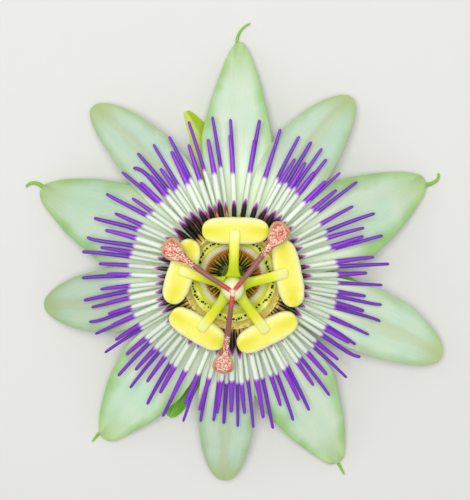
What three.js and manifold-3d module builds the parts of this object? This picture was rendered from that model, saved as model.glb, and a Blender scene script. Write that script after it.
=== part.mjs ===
// A blue passion flower, picked with a short stub of its stalk and resting face up on its three bracts.
// Millimetres, +Z up. The flower is built about its own upright axis, with the table at height 0, and
// is then moved sideways so that the origin lies under the middle of its outline.
import * as THREE from "three";
import { mergeVertices } from "three/addons/utils/BufferGeometryUtils.js";
import Module from "manifold-3d";

const wasm = await Module();
wasm.setup();

// ---------------------------------------------------------------- driving dimensions
const GAP = 0.3; // clearance kept between neighbouring pieces
const TISSUE = 0.5; // thickness of a sepal, petal or bract blade
const FULL_TURN = 360;

const STALK = { radius: 1.5, length: 4.3, sides: 16 };

// The floral cup: a shallow bowl whose flat rim carries the corona.
const CUP = {
  base: STALK.length + GAP, // height of its underside
  wall: 10, // outer radius where the sepals and petals stand
  flange: 11, // outer radius of the rim
  flangeUnder: 10.9, // height of the rim's underside
  rim: 11.8, // height of the rim's flat top
  throat: 8.9, // inner radius of the rim
  ledge: 11.2, // height of the step inside the rim
  ledgeInner: 6.7, // inner radius of the step
  floor: 6.6, // height of the nectar chamber's floor
  collar: { inner: 2.5, outer: 3.2, top: 8.6 }, // the limen, a low collar round the column's foot
};

// Azimuths are in degrees, anticlockwise from +X; radii are measured from the flower's axis.
// A blade stands at `azimuth` and bends sideways to end at `tip`. Its half width grows from the share
// `foot` to full at `widest` of its length, and u of the way on from there it is (1 - u^power)^blunt of it.
const SEPAL = {
  root: 9.0, // height where it leaves the cup
  arch: 0.5,
  drop: 7.6,
  cup: 1.5, // how far its margins turn up
  foot: 0.5,
  widest: 0.48,
  power: 1.2,
  blunt: 0.63,
};
const SEPALS = [
  { azimuth: 88.5, tip: 88.3, reach: 47.1, width: 14.1, widest: 0.52, awn: 4.2, awnBend: 1.8 },
  { azimuth: 155.0, tip: 157.0, reach: 43.2, width: 17.0, awn: 3.6, awnBend: -1.2 },
  { azimuth: 230.3, tip: 233.0, reach: 45.6, width: 15.4, awn: 1.9, awnBend: 1.1 },
  { azimuth: 299.0, tip: 298.2, reach: 47.3, width: 16.4, power: 1.1, awn: 3.0, awnBend: 0.2 },
  { azimuth: 25.6, tip: 25.4, reach: 43.9, width: 17.4, awn: 3.4, awnBend: 0.9 },
];
const PETAL = {
  root: 10.2,
  arch: 0.7,
  drop: 5.0,
  cup: 0.7,
  foot: 0.55,
  widest: 0.5,
  power: 1.7,
  blunt: 0.5,
};
const PETALS = [
  { azimuth: 62.0, tip: 56.5, reach: 43.4, width: 13.4, blunt: 0.55 },
  { azimuth: 123.2, tip: 129.5, reach: 44.5, width: 12.0 },
  { azimuth: 191.0, tip: 190.2, reach: 39.7, width: 13.4, blunt: 0.55 },
  { azimuth: 266.6, tip: 267.8, reach: 44.4, width: 11.6, blunt: 0.45 },
  { azimuth: 341.5, tip: 338.0, reach: 46.9, width: 13.7 },
];
const AWN = { radius: 0.42, tipRadius: 0.22, sag: 0.35 };
const BRACT = {
  root: 3.1,
  rest: 0.76, // share of its length at which it touches the table
  lift: 1.0, // how far its tip turns up from there
  fold: 0.9, // how far its margins turn up
  foot: 0.25,
  widest: 0.42,
  power: 2.0,
  blunt: 0.5,
};
const BRACTS = [
  { azimuth: 97, tip: 106, reach: 34.4, width: 7.4 },
  { azimuth: 248, reach: 34.5, width: 7.8 },
  { azimuth: 348.5, reach: 30, width: 9.4 },
];
const BLADE = { rows: 10, awnRows: 4, columns: 4, tipHalf: 0.15 };

// The long corona filaments, in two rows that fuse at their feet into rings on the cup's rim.
const LOWER_ROW = {
  ring: [10.1, 11.0],
  ringTop: 13.1,
  from: 10.5,
  height: 12.6,
  reach: 31.0,
  arch: 0.3,
  drop: 0.7,
  phase: 0.5,
  seed: 3,
};
const UPPER_ROW = {
  ring: [8.9, 9.8],
  ringTop: 14.4,
  from: 9.3,
  height: 13.9,
  reach: 27.0,
  arch: 0.6,
  drop: 0.3,
  phase: 0,
  seed: 8,
};
const STRAND = {
  perRow: 50,
  radius: 0.42,
  tipRadius: 0.26,
  sway: 0.35, // sideways bend
  reachSpread: 0.9, // unevenness of their lengths
  sides: 4,
  segments: 3,
};

// The short inner filaments with dark heads, which stand up from the ledge.
const PALISADE = {
  count: 60,
  ring: [7.9, 8.5],
  ringTop: 12.0,
  height: 13.1,
  lean: 0.2, // how far their heads stand in towards the axis
  radius: 0.16,
  head: 0.24,
};

// The operculum: a membrane over the nectar chamber, fringed with threads that point at the column.
const LID = { ring: [6.8, 7.4], crown: 12.1, edge: 6.0, edgeHeight: 11.7, skin: 0.35 };
const FRINGE = { count: 60, from: 6.15, to: 3.0, tipHeight: 9.6, radius: 0.17, tipRadius: 0.09, sides: 3 };
const RING_SEGMENTS = 30;

// The column that lifts the stamens and the ovary clear of the corona.
const COLUMN = { foot: 1.9, waist: 1.45, head: 2.1, top: 20.6 };
const STAMEN = {
  from: 2.4,
  height: 20.2,
  arch: 0.5,
  drop: 0.5,
  foot: 1.4, // half width where it leaves the column
  half: 1.0, // half width of the rest
  thick: 0.4, // half thickness
};
// A filament reaches out along its azimuth. The middle of its anther is `out` from the axis and `slide` aside;
// the anther is turned by `swing` degrees from lying square across the filament.
const STAMENS = [
  { azimuth: 88, reach: 11.2, out: 10.65, slide: -0.1, swing: 1.5, length: 13.1 },
  { azimuth: 163.5, reach: 11.3, out: 10.45, slide: 0.5, swing: -2.5, length: 13.4 },
  { azimuth: 234, reach: 11.4, out: 11.5, slide: -0.4, swing: 4, length: 12.3 },
  { azimuth: 305.5, reach: 11.8, out: 11.9, slide: -0.15, swing: -8, length: 13.0 },
  { azimuth: 13.5, reach: 11.2, out: 11.1, slide: -0.5, swing: -2, length: 13.5 },
];
const ANTHER = { width: 5.4, depth: 2.4 };
const OVARY = { radius: 2.2, halfHeight: 2.6 };
const STYLES = [
  { azimuth: 50.8, reach: 13.9 },
  { azimuth: 146.8, reach: 13.8 },
  { azimuth: 263, reach: 15.1 },
];
const STYLE = {
  from: 0.95,
  foot: 0.45, // radius at its foot
  rise: 0.3,
  drop: 5.0,
  radius: 0.65,
  stigma: [2.1, 1.1], // half width and half depth of its head
  swell: 0.76, // share of its length at which the head begins
};

// ---------------------------------------------------------------- materials
const skin = (color, roughness) => new THREE.MeshStandardMaterial({ color, roughness, metalness: 0 });
const MATERIAL = {
  stalk: skin("#7fae3c", 0.6),
  bract: skin("#86b238", 0.55),
  cup: skin("#c3d68a", 0.55),
  sepal: skin("#cfe3c0", 0.5),
  petal: skin("#d9e6d0", 0.5),
  lowerRow: skin("#8a3fd0", 0.5),
  upperRow: skin("#e9efdf", 0.5),
  palisade: skin("#3c3a1c", 0.5),
  operculum: skin("#8a5a34", 0.55),
  column: skin("#d3df3a", 0.45),
  anther: skin("#f7ef62", 0.6),
  ovary: skin("#e3eeb4", 0.4),
  style: skin("#a8536c", 0.5),
};

// ---------------------------------------------------------------- shared shapes
const { degToRad: radians, lerp } = THREE.MathUtils;

// A repeatable scatter between -1 and 1 for each whole number.
function scatter(index, seed) {
  const wave = Math.sin(index * 12.9898 + seed * 78.233) * 43758.5453;
  return 2 * (wave - Math.floor(wave)) - 1;
}

// Moves every vertex of a geometry to where `place` puts it.
function warp(geometry, place) {
  const position = geometry.attributes.position;
  const vertex = new THREE.Vector3();
  for (let i = 0; i < position.count; i++) {
    vertex.fromBufferAttribute(position, i);
    vertex.copy(place(vertex.x, vertex.y, vertex.z));
    position.setXYZ(i, vertex.x, vertex.y, vertex.z);
  }
  return geometry;
}

// A body turned about the flower's axis, from [radius, height] pairs.
function turned(profile, segments) {
  const points = profile.map(([radius, height]) => new THREE.Vector2(radius, height));
  return new THREE.LatheGeometry(points, segments).rotateX(Math.PI / 2);
}

// A closed ring with a four-cornered section.
function band([inner, outer], bottom, top, segments) {
  const corners = [[inner, bottom], [outer, bottom], [outer, top], [inner, top], [inner, bottom]];
  return turned(corners, segments);
}

// Turns a plan radius, a sideways offset and a height into a point, for a direction in degrees.
function polar(azimuth, radius, aside, height) {
  const a = radians(azimuth);
  return new THREE.Vector3(
    radius * Math.cos(a) - aside * Math.sin(a),
    radius * Math.sin(a) + aside * Math.cos(a),
    height,
  );
}

// A rod that runs outwards from the axis. path(t) gives [radius, aside, height] and size(t) gives
// [half width, half height], with t from 0 at its foot to 1 at its end.
function spoke(azimuth, path, size, sides, segments) {
  const rod = new THREE.CylinderGeometry(1, 1, 1, sides, segments);
  return warp(rod, (x, y, z) => {
    const t = y + 0.5;
    const [radius, aside, height] = path(t);
    const [halfWidth, halfHeight] = size(t);
    return polar(azimuth, radius, aside + z * halfWidth, height + x * halfHeight);
  });
}

// Share of a blade's full width at t, from its foot (0) to its tip (1).
function outline(t, { foot, widest, power, blunt }) {
  if (t < widest) return foot + (1 - foot) * Math.sin((Math.PI / 2) * (t / widest));
  const u = (t - widest) / (1 - widest);
  return Math.max(1 - u ** power, 0) ** blunt;
}

// A leafy blade: a thin box laid along its midrib. height(t) is the midrib's height, and lift(t, w)
// how far the blade stands above it, w being the place across it as a share of its full half width.
function blade(shape, start, height, lift) {
  const awn = shape.awn ?? 0;
  const rows = BLADE.rows + (awn ? BLADE.awnRows : 0);
  const tipHalf = awn ? AWN.radius : BLADE.tipHalf;
  const box = new THREE.BoxGeometry(2, 1, 1, BLADE.columns, rows, 1);
  return warp(box, (s, y, z) => {
    const row = (y + 0.5) * rows;
    if (row > BLADE.rows + 0.5) {
      // The midrib runs on past the blade's tip as a soft, tapering awn.
      const u = (row - BLADE.rows) / BLADE.awnRows;
      const half = lerp(AWN.radius, AWN.tipRadius, u);
      const middle = height(1) - AWN.sag * Math.sin(Math.PI * u);
      return polar(shape.tip, shape.reach + awn * u, -shape.awnBend * u * u - s * half, middle + z * TISSUE);
    }
    const t = 1 - Math.max(1 - row / BLADE.rows, 0) ** 1.5; // rows of faces get closer towards the tip
    const radius = start + (shape.reach - start) * t;
    const azimuth = shape.azimuth + ((shape.tip ?? shape.azimuth) - shape.azimuth) * t * t;
    const half = (shape.width / 2 - tipHalf) * outline(t, shape) + tipHalf;
    const w = (s * half) / (shape.width / 2);
    return polar(azimuth, radius, -s * half, height(t) + lift(t, w) + z * TISSUE);
  });
}

// ---------------------------------------------------------------- joining with manifold-3d
function solid(geometry) {
  const bare = geometry.clone();
  bare.deleteAttribute("normal");
  bare.deleteAttribute("uv");
  const merged = mergeVertices(bare, 1e-4);
  return new wasm.Manifold(
    new wasm.Mesh({
      numProp: 3,
      vertProperties: new Float32Array(merged.attributes.position.array),
      triVerts: new Uint32Array(merged.index.array),
    }),
  );
}

function joined(geometries) {
  const mesh = geometries.map(solid).reduce((whole, piece) => whole.add(piece)).getMesh();
  const geometry = new THREE.BufferGeometry();
  geometry.setAttribute("position", new THREE.BufferAttribute(mesh.vertProperties, 3));
  geometry.setIndex(new THREE.BufferAttribute(mesh.triVerts, 1));
  geometry.computeVertexNormals();
  return geometry;
}

// ---------------------------------------------------------------- the pieces
function stalk() {
  const upright = new THREE.CylinderGeometry(STALK.radius, STALK.radius, STALK.length, STALK.sides);
  return upright.rotateX(Math.PI / 2).translate(0, 0, STALK.length / 2);
}

// A bract leaves the stalk, comes down to the table at `rest` of its length, and turns up at its tip.
function bract(shape) {
  const full = { ...BRACT, ...shape };
  const low = TISSUE / 2;
  const height = (t) => {
    if (t < full.rest) return low + (full.root - low) * (1 - t / full.rest) ** 1.6;
    return low + full.lift * ((t - full.rest) / (1 - full.rest)) ** 2;
  };
  const lift = (t, w) => full.fold * Math.abs(w) ** 1.5 * Math.sin(Math.PI * t);
  return blade(full, STALK.radius + GAP, height, lift);
}

function floralCup() {
  const { collar } = CUP;
  return turned(
    [
      [0, CUP.base],
      [2.2, CUP.base],
      [5.2, 5.3],
      [7.8, 6.6],
      [9.3, 8.0],
      [CUP.wall, 9.4],
      [CUP.wall, CUP.flangeUnder],
      [CUP.flange, CUP.flangeUnder],
      [CUP.flange, CUP.rim],
      [CUP.throat, CUP.rim],
      [CUP.throat - 0.3, CUP.ledge],
      [CUP.ledgeInner, CUP.ledge],
      [5.9, 7.9],
      [4.6, CUP.floor],
      [collar.outer, CUP.floor],
      [collar.outer, collar.top],
      [collar.inner, collar.top],
      [collar.inner, CUP.floor],
      [0, CUP.floor],
    ],
    RING_SEGMENTS,
  );
}

// Height of a sepal's or petal's midrib: a low arch that then falls towards the tip.
const midrib = (kind) => (t) => kind.root + kind.arch * Math.sin(Math.PI * t) - kind.drop * t ** 2.2;

// A sepal is boat-shaped.
function sepal(shape) {
  const full = { ...SEPAL, ...shape };
  return blade(full, CUP.wall + GAP, midrib(full), (t, w) => full.cup * w * w * t ** 1.3);
}

function petal(shape) {
  const full = { ...PETAL, ...shape };
  return blade(full, CUP.wall + GAP, midrib(full), (t, w) => full.cup * w * w * t);
}

// A row of long filaments, grown together at their feet in one ring on the cup's rim.
function coronaRow(row) {
  const step = FULL_TURN / STRAND.perRow;
  const ring = band(row.ring, CUP.rim + GAP, row.ringTop, STRAND.perRow);
  const pieces = [ring.rotateZ(radians(row.phase * step))]; // each filament leaves the middle of a facet
  for (let i = 0; i < STRAND.perRow; i++) {
    const azimuth = (i + row.phase) * step + scatter(i, row.seed);
    const reach = row.reach + STRAND.reachSpread * scatter(i, row.seed + 1);
    const sway = 2 * STRAND.sway * scatter(i, row.seed + 2);
    const path = (t) => [
      lerp(row.from, reach, t),
      sway * t * Math.sin(Math.PI * t),
      row.height + row.arch * Math.sin(Math.PI * t) - row.drop * t * t,
    ];
    const size = (t) => Array(2).fill(lerp(STRAND.radius, STRAND.tipRadius, t * t));
    pieces.push(spoke(azimuth, path, size, STRAND.sides, STRAND.segments));
  }
  return joined(pieces);
}

function palisade() {
  const middle = (PALISADE.ring[0] + PALISADE.ring[1]) / 2;
  const foot = PALISADE.ringTop - 0.2; // the posts are rooted in their ring
  const pieces = [band(PALISADE.ring, CUP.ledge + GAP, PALISADE.ringTop, RING_SEGMENTS)];
  for (let i = 0; i < PALISADE.count; i++) {
    const azimuth = (i * FULL_TURN) / PALISADE.count;
    const post = new THREE.CylinderGeometry(1, 1, 1, 4);
    warp(post, (x, y, z) => {
      const t = y + 0.5;
      const half = lerp(PALISADE.radius, PALISADE.head, t);
      const height = lerp(foot, PALISADE.height, t);
      return polar(azimuth, middle - PALISADE.lean * t - x * half, z * half, height);
    });
    pieces.push(post);
  }
  return joined(pieces);
}

function operculum() {
  const [inner, outer] = LID.ring;
  const membrane = turned(
    [
      [inner, CUP.ledge + GAP],
      [outer, CUP.ledge + GAP],
      [outer - 0.1, LID.crown],
      [LID.edge, LID.edgeHeight + LID.skin],
      [LID.edge, LID.edgeHeight],
      [inner, LID.crown - LID.skin],
      [inner, CUP.ledge + GAP],
    ],
    RING_SEGMENTS,
  );
  const pieces = [membrane];
  const rootHeight = LID.edgeHeight + LID.skin / 2;
  const path = (t) => [
    lerp(FRINGE.to, FRINGE.from, t),
    0,
    lerp(rootHeight, FRINGE.tipHeight, (1 - t) ** 1.3),
  ];
  const size = (t) => Array(2).fill(lerp(FRINGE.tipRadius, FRINGE.radius, t));
  for (let i = 0; i < FRINGE.count; i++) {
    pieces.push(spoke((i * FULL_TURN) / FRINGE.count, path, size, FRINGE.sides, 1));
  }
  return joined(pieces);
}

// The androgynophore, waisted like a slim column and spread at its head to carry the stamens.
function column() {
  const foot = CUP.floor + GAP;
  return turned(
    [
      [0, foot],
      [COLUMN.foot, foot],
      [COLUMN.foot - 0.1, foot + 1.2],
      [COLUMN.waist, foot + 4.5],
      [COLUMN.waist, COLUMN.top - 3.2],
      [COLUMN.head - 0.4, COLUMN.top - 1.1],
      [COLUMN.head, COLUMN.top - 0.7],
      [COLUMN.head, COLUMN.top],
      [0, COLUMN.top],
    ],
    16,
  );
}

// Height of a stamen filament's middle line.
const stamenHeight = (t) => STAMEN.height + STAMEN.arch * Math.sin(Math.PI * t) - STAMEN.drop * t * t;

// A flat strap that widens where it leaves the column.
function stamenFilament({ azimuth, reach }) {
  const path = (t) => [lerp(STAMEN.from, reach, t), 0, stamenHeight(t)];
  const size = (t) => [lerp(STAMEN.half, STAMEN.foot, (1 - t) ** 4), STAMEN.thick];
  return spoke(azimuth, path, size, 8, 6);
}

// An anther hangs crosswise under the end of its filament.
function anther({ azimuth, out, slide, swing, length }) {
  const halfWidth = ANTHER.width / 2;
  const middle = stamenHeight(1) - STAMEN.thick - GAP - ANTHER.depth / 2;
  const capsule = new THREE.CapsuleGeometry(halfWidth, length - ANTHER.width, 3, 8, 4);
  capsule.scale(1, 1, ANTHER.depth / ANTHER.width).rotateZ(radians(swing));
  return warp(capsule, (x, y, z) => polar(azimuth, out + x, y + slide, middle + z));
}

const ovaryMiddle = COLUMN.top + GAP + OVARY.halfHeight;

function ovary() {
  const ball = new THREE.SphereGeometry(OVARY.radius, 16, 10).rotateX(Math.PI / 2);
  return ball.scale(1, 1, OVARY.halfHeight / OVARY.radius).translate(0, 0, ovaryMiddle);
}

// A style arches out from the crown of the ovary and swells into its stigma.
function style({ azimuth, reach }) {
  const seat = ovaryMiddle + OVARY.halfHeight * Math.sqrt(1 - (STYLE.from / OVARY.radius) ** 2);
  const foot = seat + GAP + STYLE.foot;
  const [headHalf, headDepth] = STYLE.stigma;
  const path = (t) => [
    lerp(STYLE.from, reach + headHalf, t),
    0,
    foot + STYLE.rise * Math.sin(Math.PI * t) - STYLE.drop * t ** 2.2,
  ];
  const size = (t) => {
    if (t < STYLE.swell) return Array(2).fill(lerp(STYLE.radius, STYLE.foot, (1 - t) ** 2));
    const u = (t - STYLE.swell) / (1 - STYLE.swell);
    const bulge = Math.sin(Math.PI * u ** 0.8);
    const stem = STYLE.radius * (1 - 0.4 * u);
    return [lerp(stem, headHalf, bulge), lerp(stem, headDepth, bulge)];
  };
  return spoke(azimuth, path, size, 6, 14);
}

// ---------------------------------------------------------------- the whole flower
const flower = new THREE.Group();

function whorl(pieces) {
  const group = new THREE.Group();
  for (const [name, geometry, material] of pieces) {
    const mesh = new THREE.Mesh(geometry, material);
    mesh.name = name;
    group.add(mesh);
  }
  flower.add(group);
}

whorl([
  ["stalk_stub", stalk(), MATERIAL.stalk],
  ...BRACTS.map((shape, i) => [`bract_${i + 1}`, bract(shape), MATERIAL.bract]),
]);
whorl([["floral_cup", floralCup(), MATERIAL.cup]]);
whorl(SEPALS.map((shape, i) => [`sepal_${i + 1}`, sepal(shape), MATERIAL.sepal]));
whorl(PETALS.map((shape, i) => [`petal_${i + 1}`, petal(shape), MATERIAL.petal]));
whorl([
  ["corona_lower_row", coronaRow(LOWER_ROW), MATERIAL.lowerRow],
  ["corona_upper_row", coronaRow(UPPER_ROW), MATERIAL.upperRow],
  ["corona_inner_row", palisade(), MATERIAL.palisade],
  ["operculum", operculum(), MATERIAL.operculum],
]);

whorl([
  ["androgynophore", column(), MATERIAL.column],
  ...STAMENS.map((shape, i) => [`stamen_filament_${i + 1}`, stamenFilament(shape), MATERIAL.column]),
  ...STAMENS.map((shape, i) => [`anther_${i + 1}`, anther(shape), MATERIAL.anther]),
]);
whorl([
  ["ovary", ovary(), MATERIAL.ovary],
  ...STYLES.map((shape, i) => [`style_${i + 1}`, style(shape), MATERIAL.style]),
]);

// The origin goes to the table, under the middle of the flower's outline.
const bounds = new THREE.Box3().setFromObject(flower, true);
const middle = bounds.getCenter(new THREE.Vector3());
flower.position.set(-middle.x, -middle.y, -bounds.min.z);

export default flower;
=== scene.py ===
"""A blue passion flower, picked with a stub of its stalk and resting face up on its three bracts.

The frame holds every organ at its place and size, in metres. This add-on grows the tissue around it: leafy
blades, fleshy filaments, threads and sacs. Shapes are worked out in millimetres about the flower's own
upright axis, as closed skins on grids of two parameters, and go into the meshes as whole arrays.
"""

import bpy
import numpy as np
from bpy.props import FloatProperty, FloatVectorProperty, IntProperty, PointerProperty
from mathutils import Euler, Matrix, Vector


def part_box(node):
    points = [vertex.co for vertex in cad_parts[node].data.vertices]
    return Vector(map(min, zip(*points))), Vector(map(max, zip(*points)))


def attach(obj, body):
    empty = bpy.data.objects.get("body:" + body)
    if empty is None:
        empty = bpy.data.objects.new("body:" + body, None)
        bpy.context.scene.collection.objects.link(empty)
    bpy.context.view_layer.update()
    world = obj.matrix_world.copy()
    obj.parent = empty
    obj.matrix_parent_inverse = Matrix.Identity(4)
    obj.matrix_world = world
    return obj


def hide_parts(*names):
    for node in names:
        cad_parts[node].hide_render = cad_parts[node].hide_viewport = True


bl_info = {
    "name": "Passion flower",
    "version": (1, 0, 0),
    "blender": (4, 5, 0),
    "location": "View3D > Sidebar > Passion flower",
    "description": "Grows a blue passion flower organ by organ around a fixed frame",
    "category": "Add Mesh",
}

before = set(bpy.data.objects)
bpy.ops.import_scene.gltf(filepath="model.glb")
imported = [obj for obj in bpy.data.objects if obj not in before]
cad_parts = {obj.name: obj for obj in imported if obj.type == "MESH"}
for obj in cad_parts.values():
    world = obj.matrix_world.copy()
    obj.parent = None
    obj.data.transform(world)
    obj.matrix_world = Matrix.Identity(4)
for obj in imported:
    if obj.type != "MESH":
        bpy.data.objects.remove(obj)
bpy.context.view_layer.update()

# ------------------------------------------------------------------ sizes, in millimetres and degrees
MM = 0.001  # metres in a millimetre
FULL_TURN = 360.0
# Starts of the random draws, but for the corona's rows; each copy of an organ adds its own number.
SEEDS = {
    "threads": 12, "sepal": 20, "sepal_waves": 30, "bract": 40, "bract_waves": 50, "petal": 60,
    "petal_waves": 70, "anther": 80, "anther_skin": 90, "papillae": 130,
}

CUP_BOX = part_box("floral_cup")
AXIS = (CUP_BOX[0] + CUP_BOX[1]) / 2
AXIS.z = 0.0  # the flower's axis is upright, through the middle of the cup


def extent(node):
    """Lowest and highest corner of a CAD node, in millimetres about the flower's axis."""
    return (np.array(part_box(node)) - AXIS) / MM


def table(keys, *rows, **common):
    """One dictionary for each row: what all rows have in common, and the keys with the row's own values."""
    return [{**common, **dict(zip(keys.split(), row))} for row in rows]


RIDGES = 5  # round the stalk, the line of threads and the column, as the flower has five of most organs
STALK = {"radius": extent("stalk_stub")[1][0], "top": extent("stalk_stub")[1][2], "flare": 0.55}
CUP = {
    "base": extent("floral_cup")[0][2],
    "rim": extent("floral_cup")[1][2],
    "flange": extent("floral_cup")[1][0],
    "bowl": 5.8,
    "wall": 10.0,
    "wall_top": 10.9,
    "throat": 8.9,
    "ledge": 11.2,
    "ledge_inner": 6.7,
    "floor": extent("androgynophore")[0][2] - 0.3,
    "collar": 8.6,
    "ribs_below": 10.94,
}

# A blade leaves the cup or stalk at `azimuth` and bends sideways to end at `tip`, `reach` from the axis. Its
# half width grows from the share `foot` to full at `widest` of its length; u of the way on from there it is
# (1 - u^power)^blunt of the full one. It rolls to one side by `roll`, and `light` is painted light that makes
# the whole blade lighter or darker. A sepal's awn leaves the tip `exit` further out and aside; it is `awn`
# long and
# `stout` thick, sets out `lean` degrees aside and turns by `hook` more to its end, later with a higher
# `late`.
SEPALS = table(
    "azimuth tip reach width widest power blunt light roll exit awn stout lean hook late",
    (88.5, 88.3, 47.1, 14.1, 0.5, 1.05, 0.66, 0.94, -0.03, (0.2, 0.6), 4.5, 0.3, -6.0, -60.0, 1.0),
    (155.0, 157.0, 43.2, 17.0, 0.48, 1.2, 0.63, 0.85, 0.035, (-0.7, -0.55), 4.3, 0.46, -12.0, 95.0, 2.0),
    (230.3, 233.0, 45.6, 15.4, 0.48, 1.2, 0.63, 1.02, -0.02, (-0.6, -1.45), 2.5, 0.34, -6.0, 6.0, 1.0),
    (299.0, 298.2, 47.3, 16.4, 0.48, 1.1, 0.63, 1.01, 0.03, (-1.0, -0.05), 3.8, 0.36, 0.0, 0.0, 1.0),
    (25.6, 25.4, 43.9, 17.4, 0.48, 1.2, 0.63, 0.92, -0.035, (-0.7, -1.0), 4.4, 0.44, -13.0, 110.0, 2.6),
    foot=0.5, tip_half=0.42,
)
PETALS = table(
    "azimuth tip reach width blunt light roll",
    (62.0, 56.5, 43.4, 13.4, 0.55, 0.885, 0.03),
    (123.2, 129.5, 44.5, 12.0, 0.5, 0.85, -0.03),
    (191.0, 190.2, 39.7, 13.4, 0.55, 0.815, 0.02),
    (266.6, 267.8, 44.4, 11.6, 0.45, 0.91, -0.02),
    (343.5, 337.8, 46.9, 13.7, 0.5, 1.0, 0.035),
    foot=0.55, widest=0.5, power=1.7, tip_half=0.15,
)
BRACTS = table(
    "azimuth tip reach width power blunt tip_half green",
    (96.5, 106.2, 34.4, 9.4, 1.4, 0.8, 0.6, 0.0),
    (248.0, 247.0, 34.4, 6.25, 4.0, 0.5, 0.15, 1.0),
    (347.6, 347.6, 30.0, 9.4, 2.0, 0.5, 0.15, 0.8),
    foot=0.25, widest=0.42,
)
BRACT_FOOT, BRACT_ROOT = 1.35, 3.1  # distance from the axis and height where a bract leaves the stalk
BRACT_REST = 0.76  # share of its length at which a bract touches the table
# A bract's side veins: their way on along the blade from midrib to margin, and the radians of their wave.
VEIN_SLANT, VEIN_BEAT = 0.32, 60.0
BLADE_ROWS, BLADE_COLUMNS = 90, 56

# The two outer rows of corona filaments. Each filament has its azimuth where its violet end begins, BAND from
# the axis, how many degrees it leans aside from there to its tip, and its reach. A row gives the section of
# the ring it grows from, and its filaments' start, height, arch, drop and spread of girth. The girth is the
# share of the full thickness at shares of the way to the tip. The colour bands lie `band` further out than
# drawn, and on the side of the long awn `north` more. A few tips are hooked, by the degrees given for that
# azimuth.
BAND = 21.0
# Shares of the way to a corona filament's tip, closer where the tip rounds off.
FILAMENT_RUN = np.array([0.0, 0.08, 0.2, 0.33, 0.46, 0.56, 0.66, 0.76, 0.85, 0.92, 0.96, 0.98, 0.992, 1.0])
LONG_FILAMENTS = (
    (7.5, -1.8, 31.6), (17.4, -1.0, 31.4), (27.6, -2.3, 31.4), (38.9, -0.4, 31.7), (46.7, -1.3, 30.4),
    (52.8, -0.3, 30.6), (56.5, -0.3, 31.8), (61.5, -0.8, 31.8), (66.5, -1.0, 31.7), (73.0, -0.3, 31.7),
    (81.3, -0.7, 32.5), (89.8, 1.1, 32.3), (96.0, 1.1, 33.0), (104.3, 1.2, 33.0), (112.4, 1.3, 31.5),
    (119.6, 0.6, 31.5), (125.2, 1.4, 31.8), (128.6, 0.3, 30.0), (133.6, 1.8, 31.0), (143.0, 3.1, 30.7),
    (152.0, 4.4, 30.5), (160.7, 3.8, 30.5), (167.3, 2.1, 30.8), (177.7, 1.7, 30.4), (186.2, 2.2, 30.5),
    (190.4, 1.1, 29.2), (196.6, 1.4, 30.5), (200.7, 1.4, 30.2), (208.8, 1.5, 30.2), (217.3, 3.1, 30.7),
    (225.0, 2.1, 30.9), (233.8, 2.2, 31.4), (242.7, 0.5, 31.9), (250.2, 0.7, 31.2), (256.4, 0.9, 30.2),
    (262.1, 0.2, 29.7), (266.5, -0.1, 30.2), (272.2, -0.4, 30.7), (278.2, -0.5, 31.1), (286.5, -1.8, 32.3),
    (294.4, -1.6, 31.8), (301.5, -1.8, 31.4), (310.4, -1.1, 31.1), (319.5, -0.8, 30.8), (327.8, -0.9, 30.4),
    (333.3, -1.7, 28.3), (338.3, -0.8, 29.8), (344.6, -0.3, 31.1), (350.5, -0.9, 30.5), (358.2, -0.6, 30.2),
)
LONG_ROW = {
    "ring": ((10.1, 11.9), (11.0, 11.9), (11.0, 12.9), (10.1, 13.1)),
    "start": 10.5, "height": 12.6, "arch": 0.3, "drop": 0.0, "vary": 0.15, "band": 0.35, "north": 1.5,
    "seed": 3,
    "girth": ((0.0, 0.25, 0.45, 0.55, 0.8, 1.0), (0.6, 0.85, 0.95, 0.86, 0.76, 0.62)),
    "filaments": LONG_FILAMENTS,
    "hooks": {
        128.6: 2.7, 143.0: -0.6, 152.0: -0.6, 160.7: -1.0, 196.6: -1.2, 327.8: 1.5, 344.6: -0.6,
        350.5: 0.6,
    },
}
SHORT_FILAMENTS = (
    (3.6, -0.5, 27.0), (10.4, -1.0, 28.7), (19.4, -0.5, 27.6), (24.5, -2.4, 28.3), (33.0, -1.1, 28.3),
    (42.4, -0.9, 27.6), (48.1, -0.9, 27.2), (53.9, -0.4, 27.2), (59.1, -0.3, 27.8), (64.6, -1.4, 27.4),
    (73.1, -0.2, 27.9), (81.4, 0.0, 28.6), (90.1, 1.2, 29.2), (99.9, 0.0, 28.8), (107.6, 0.2, 28.7),
    (115.0, 0.3, 28.7), (121.9, 0.7, 26.8), (127.4, 0.7, 26.8), (132.2, 0.9, 27.0), (139.0, 1.4, 26.1),
    (147.9, 2.2, 27.2), (156.0, 2.3, 27.5), (164.1, 1.8, 27.4), (171.6, 1.5, 27.2), (176.9, 0.4, 25.4),
    (183.1, 1.1, 26.8), (189.6, 1.0, 26.3), (194.9, 0.6, 26.2), (199.7, 1.2, 26.4), (205.6, 1.6, 26.7),
    (213.7, 1.6, 26.5), (221.6, 1.6, 27.2), (229.0, 1.3, 27.4), (236.2, 1.3, 27.6), (242.6, 0.2, 27.7),
    (249.7, -0.7, 27.6), (256.5, -0.9, 27.9), (263.3, 0.0, 27.8), (269.2, 0.0, 27.5), (275.0, -0.1, 27.8),
    (283.0, -0.8, 29.1), (291.3, -0.9, 27.9), (299.3, -1.0, 28.3), (308.2, -1.2, 27.2), (315.6, -1.2, 27.2),
    (323.3, -0.8, 26.9), (332.1, -0.8, 26.9), (339.2, -0.9, 26.2), (347.6, -1.2, 27.2), (353.9, -1.1, 27.0),
)
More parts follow.
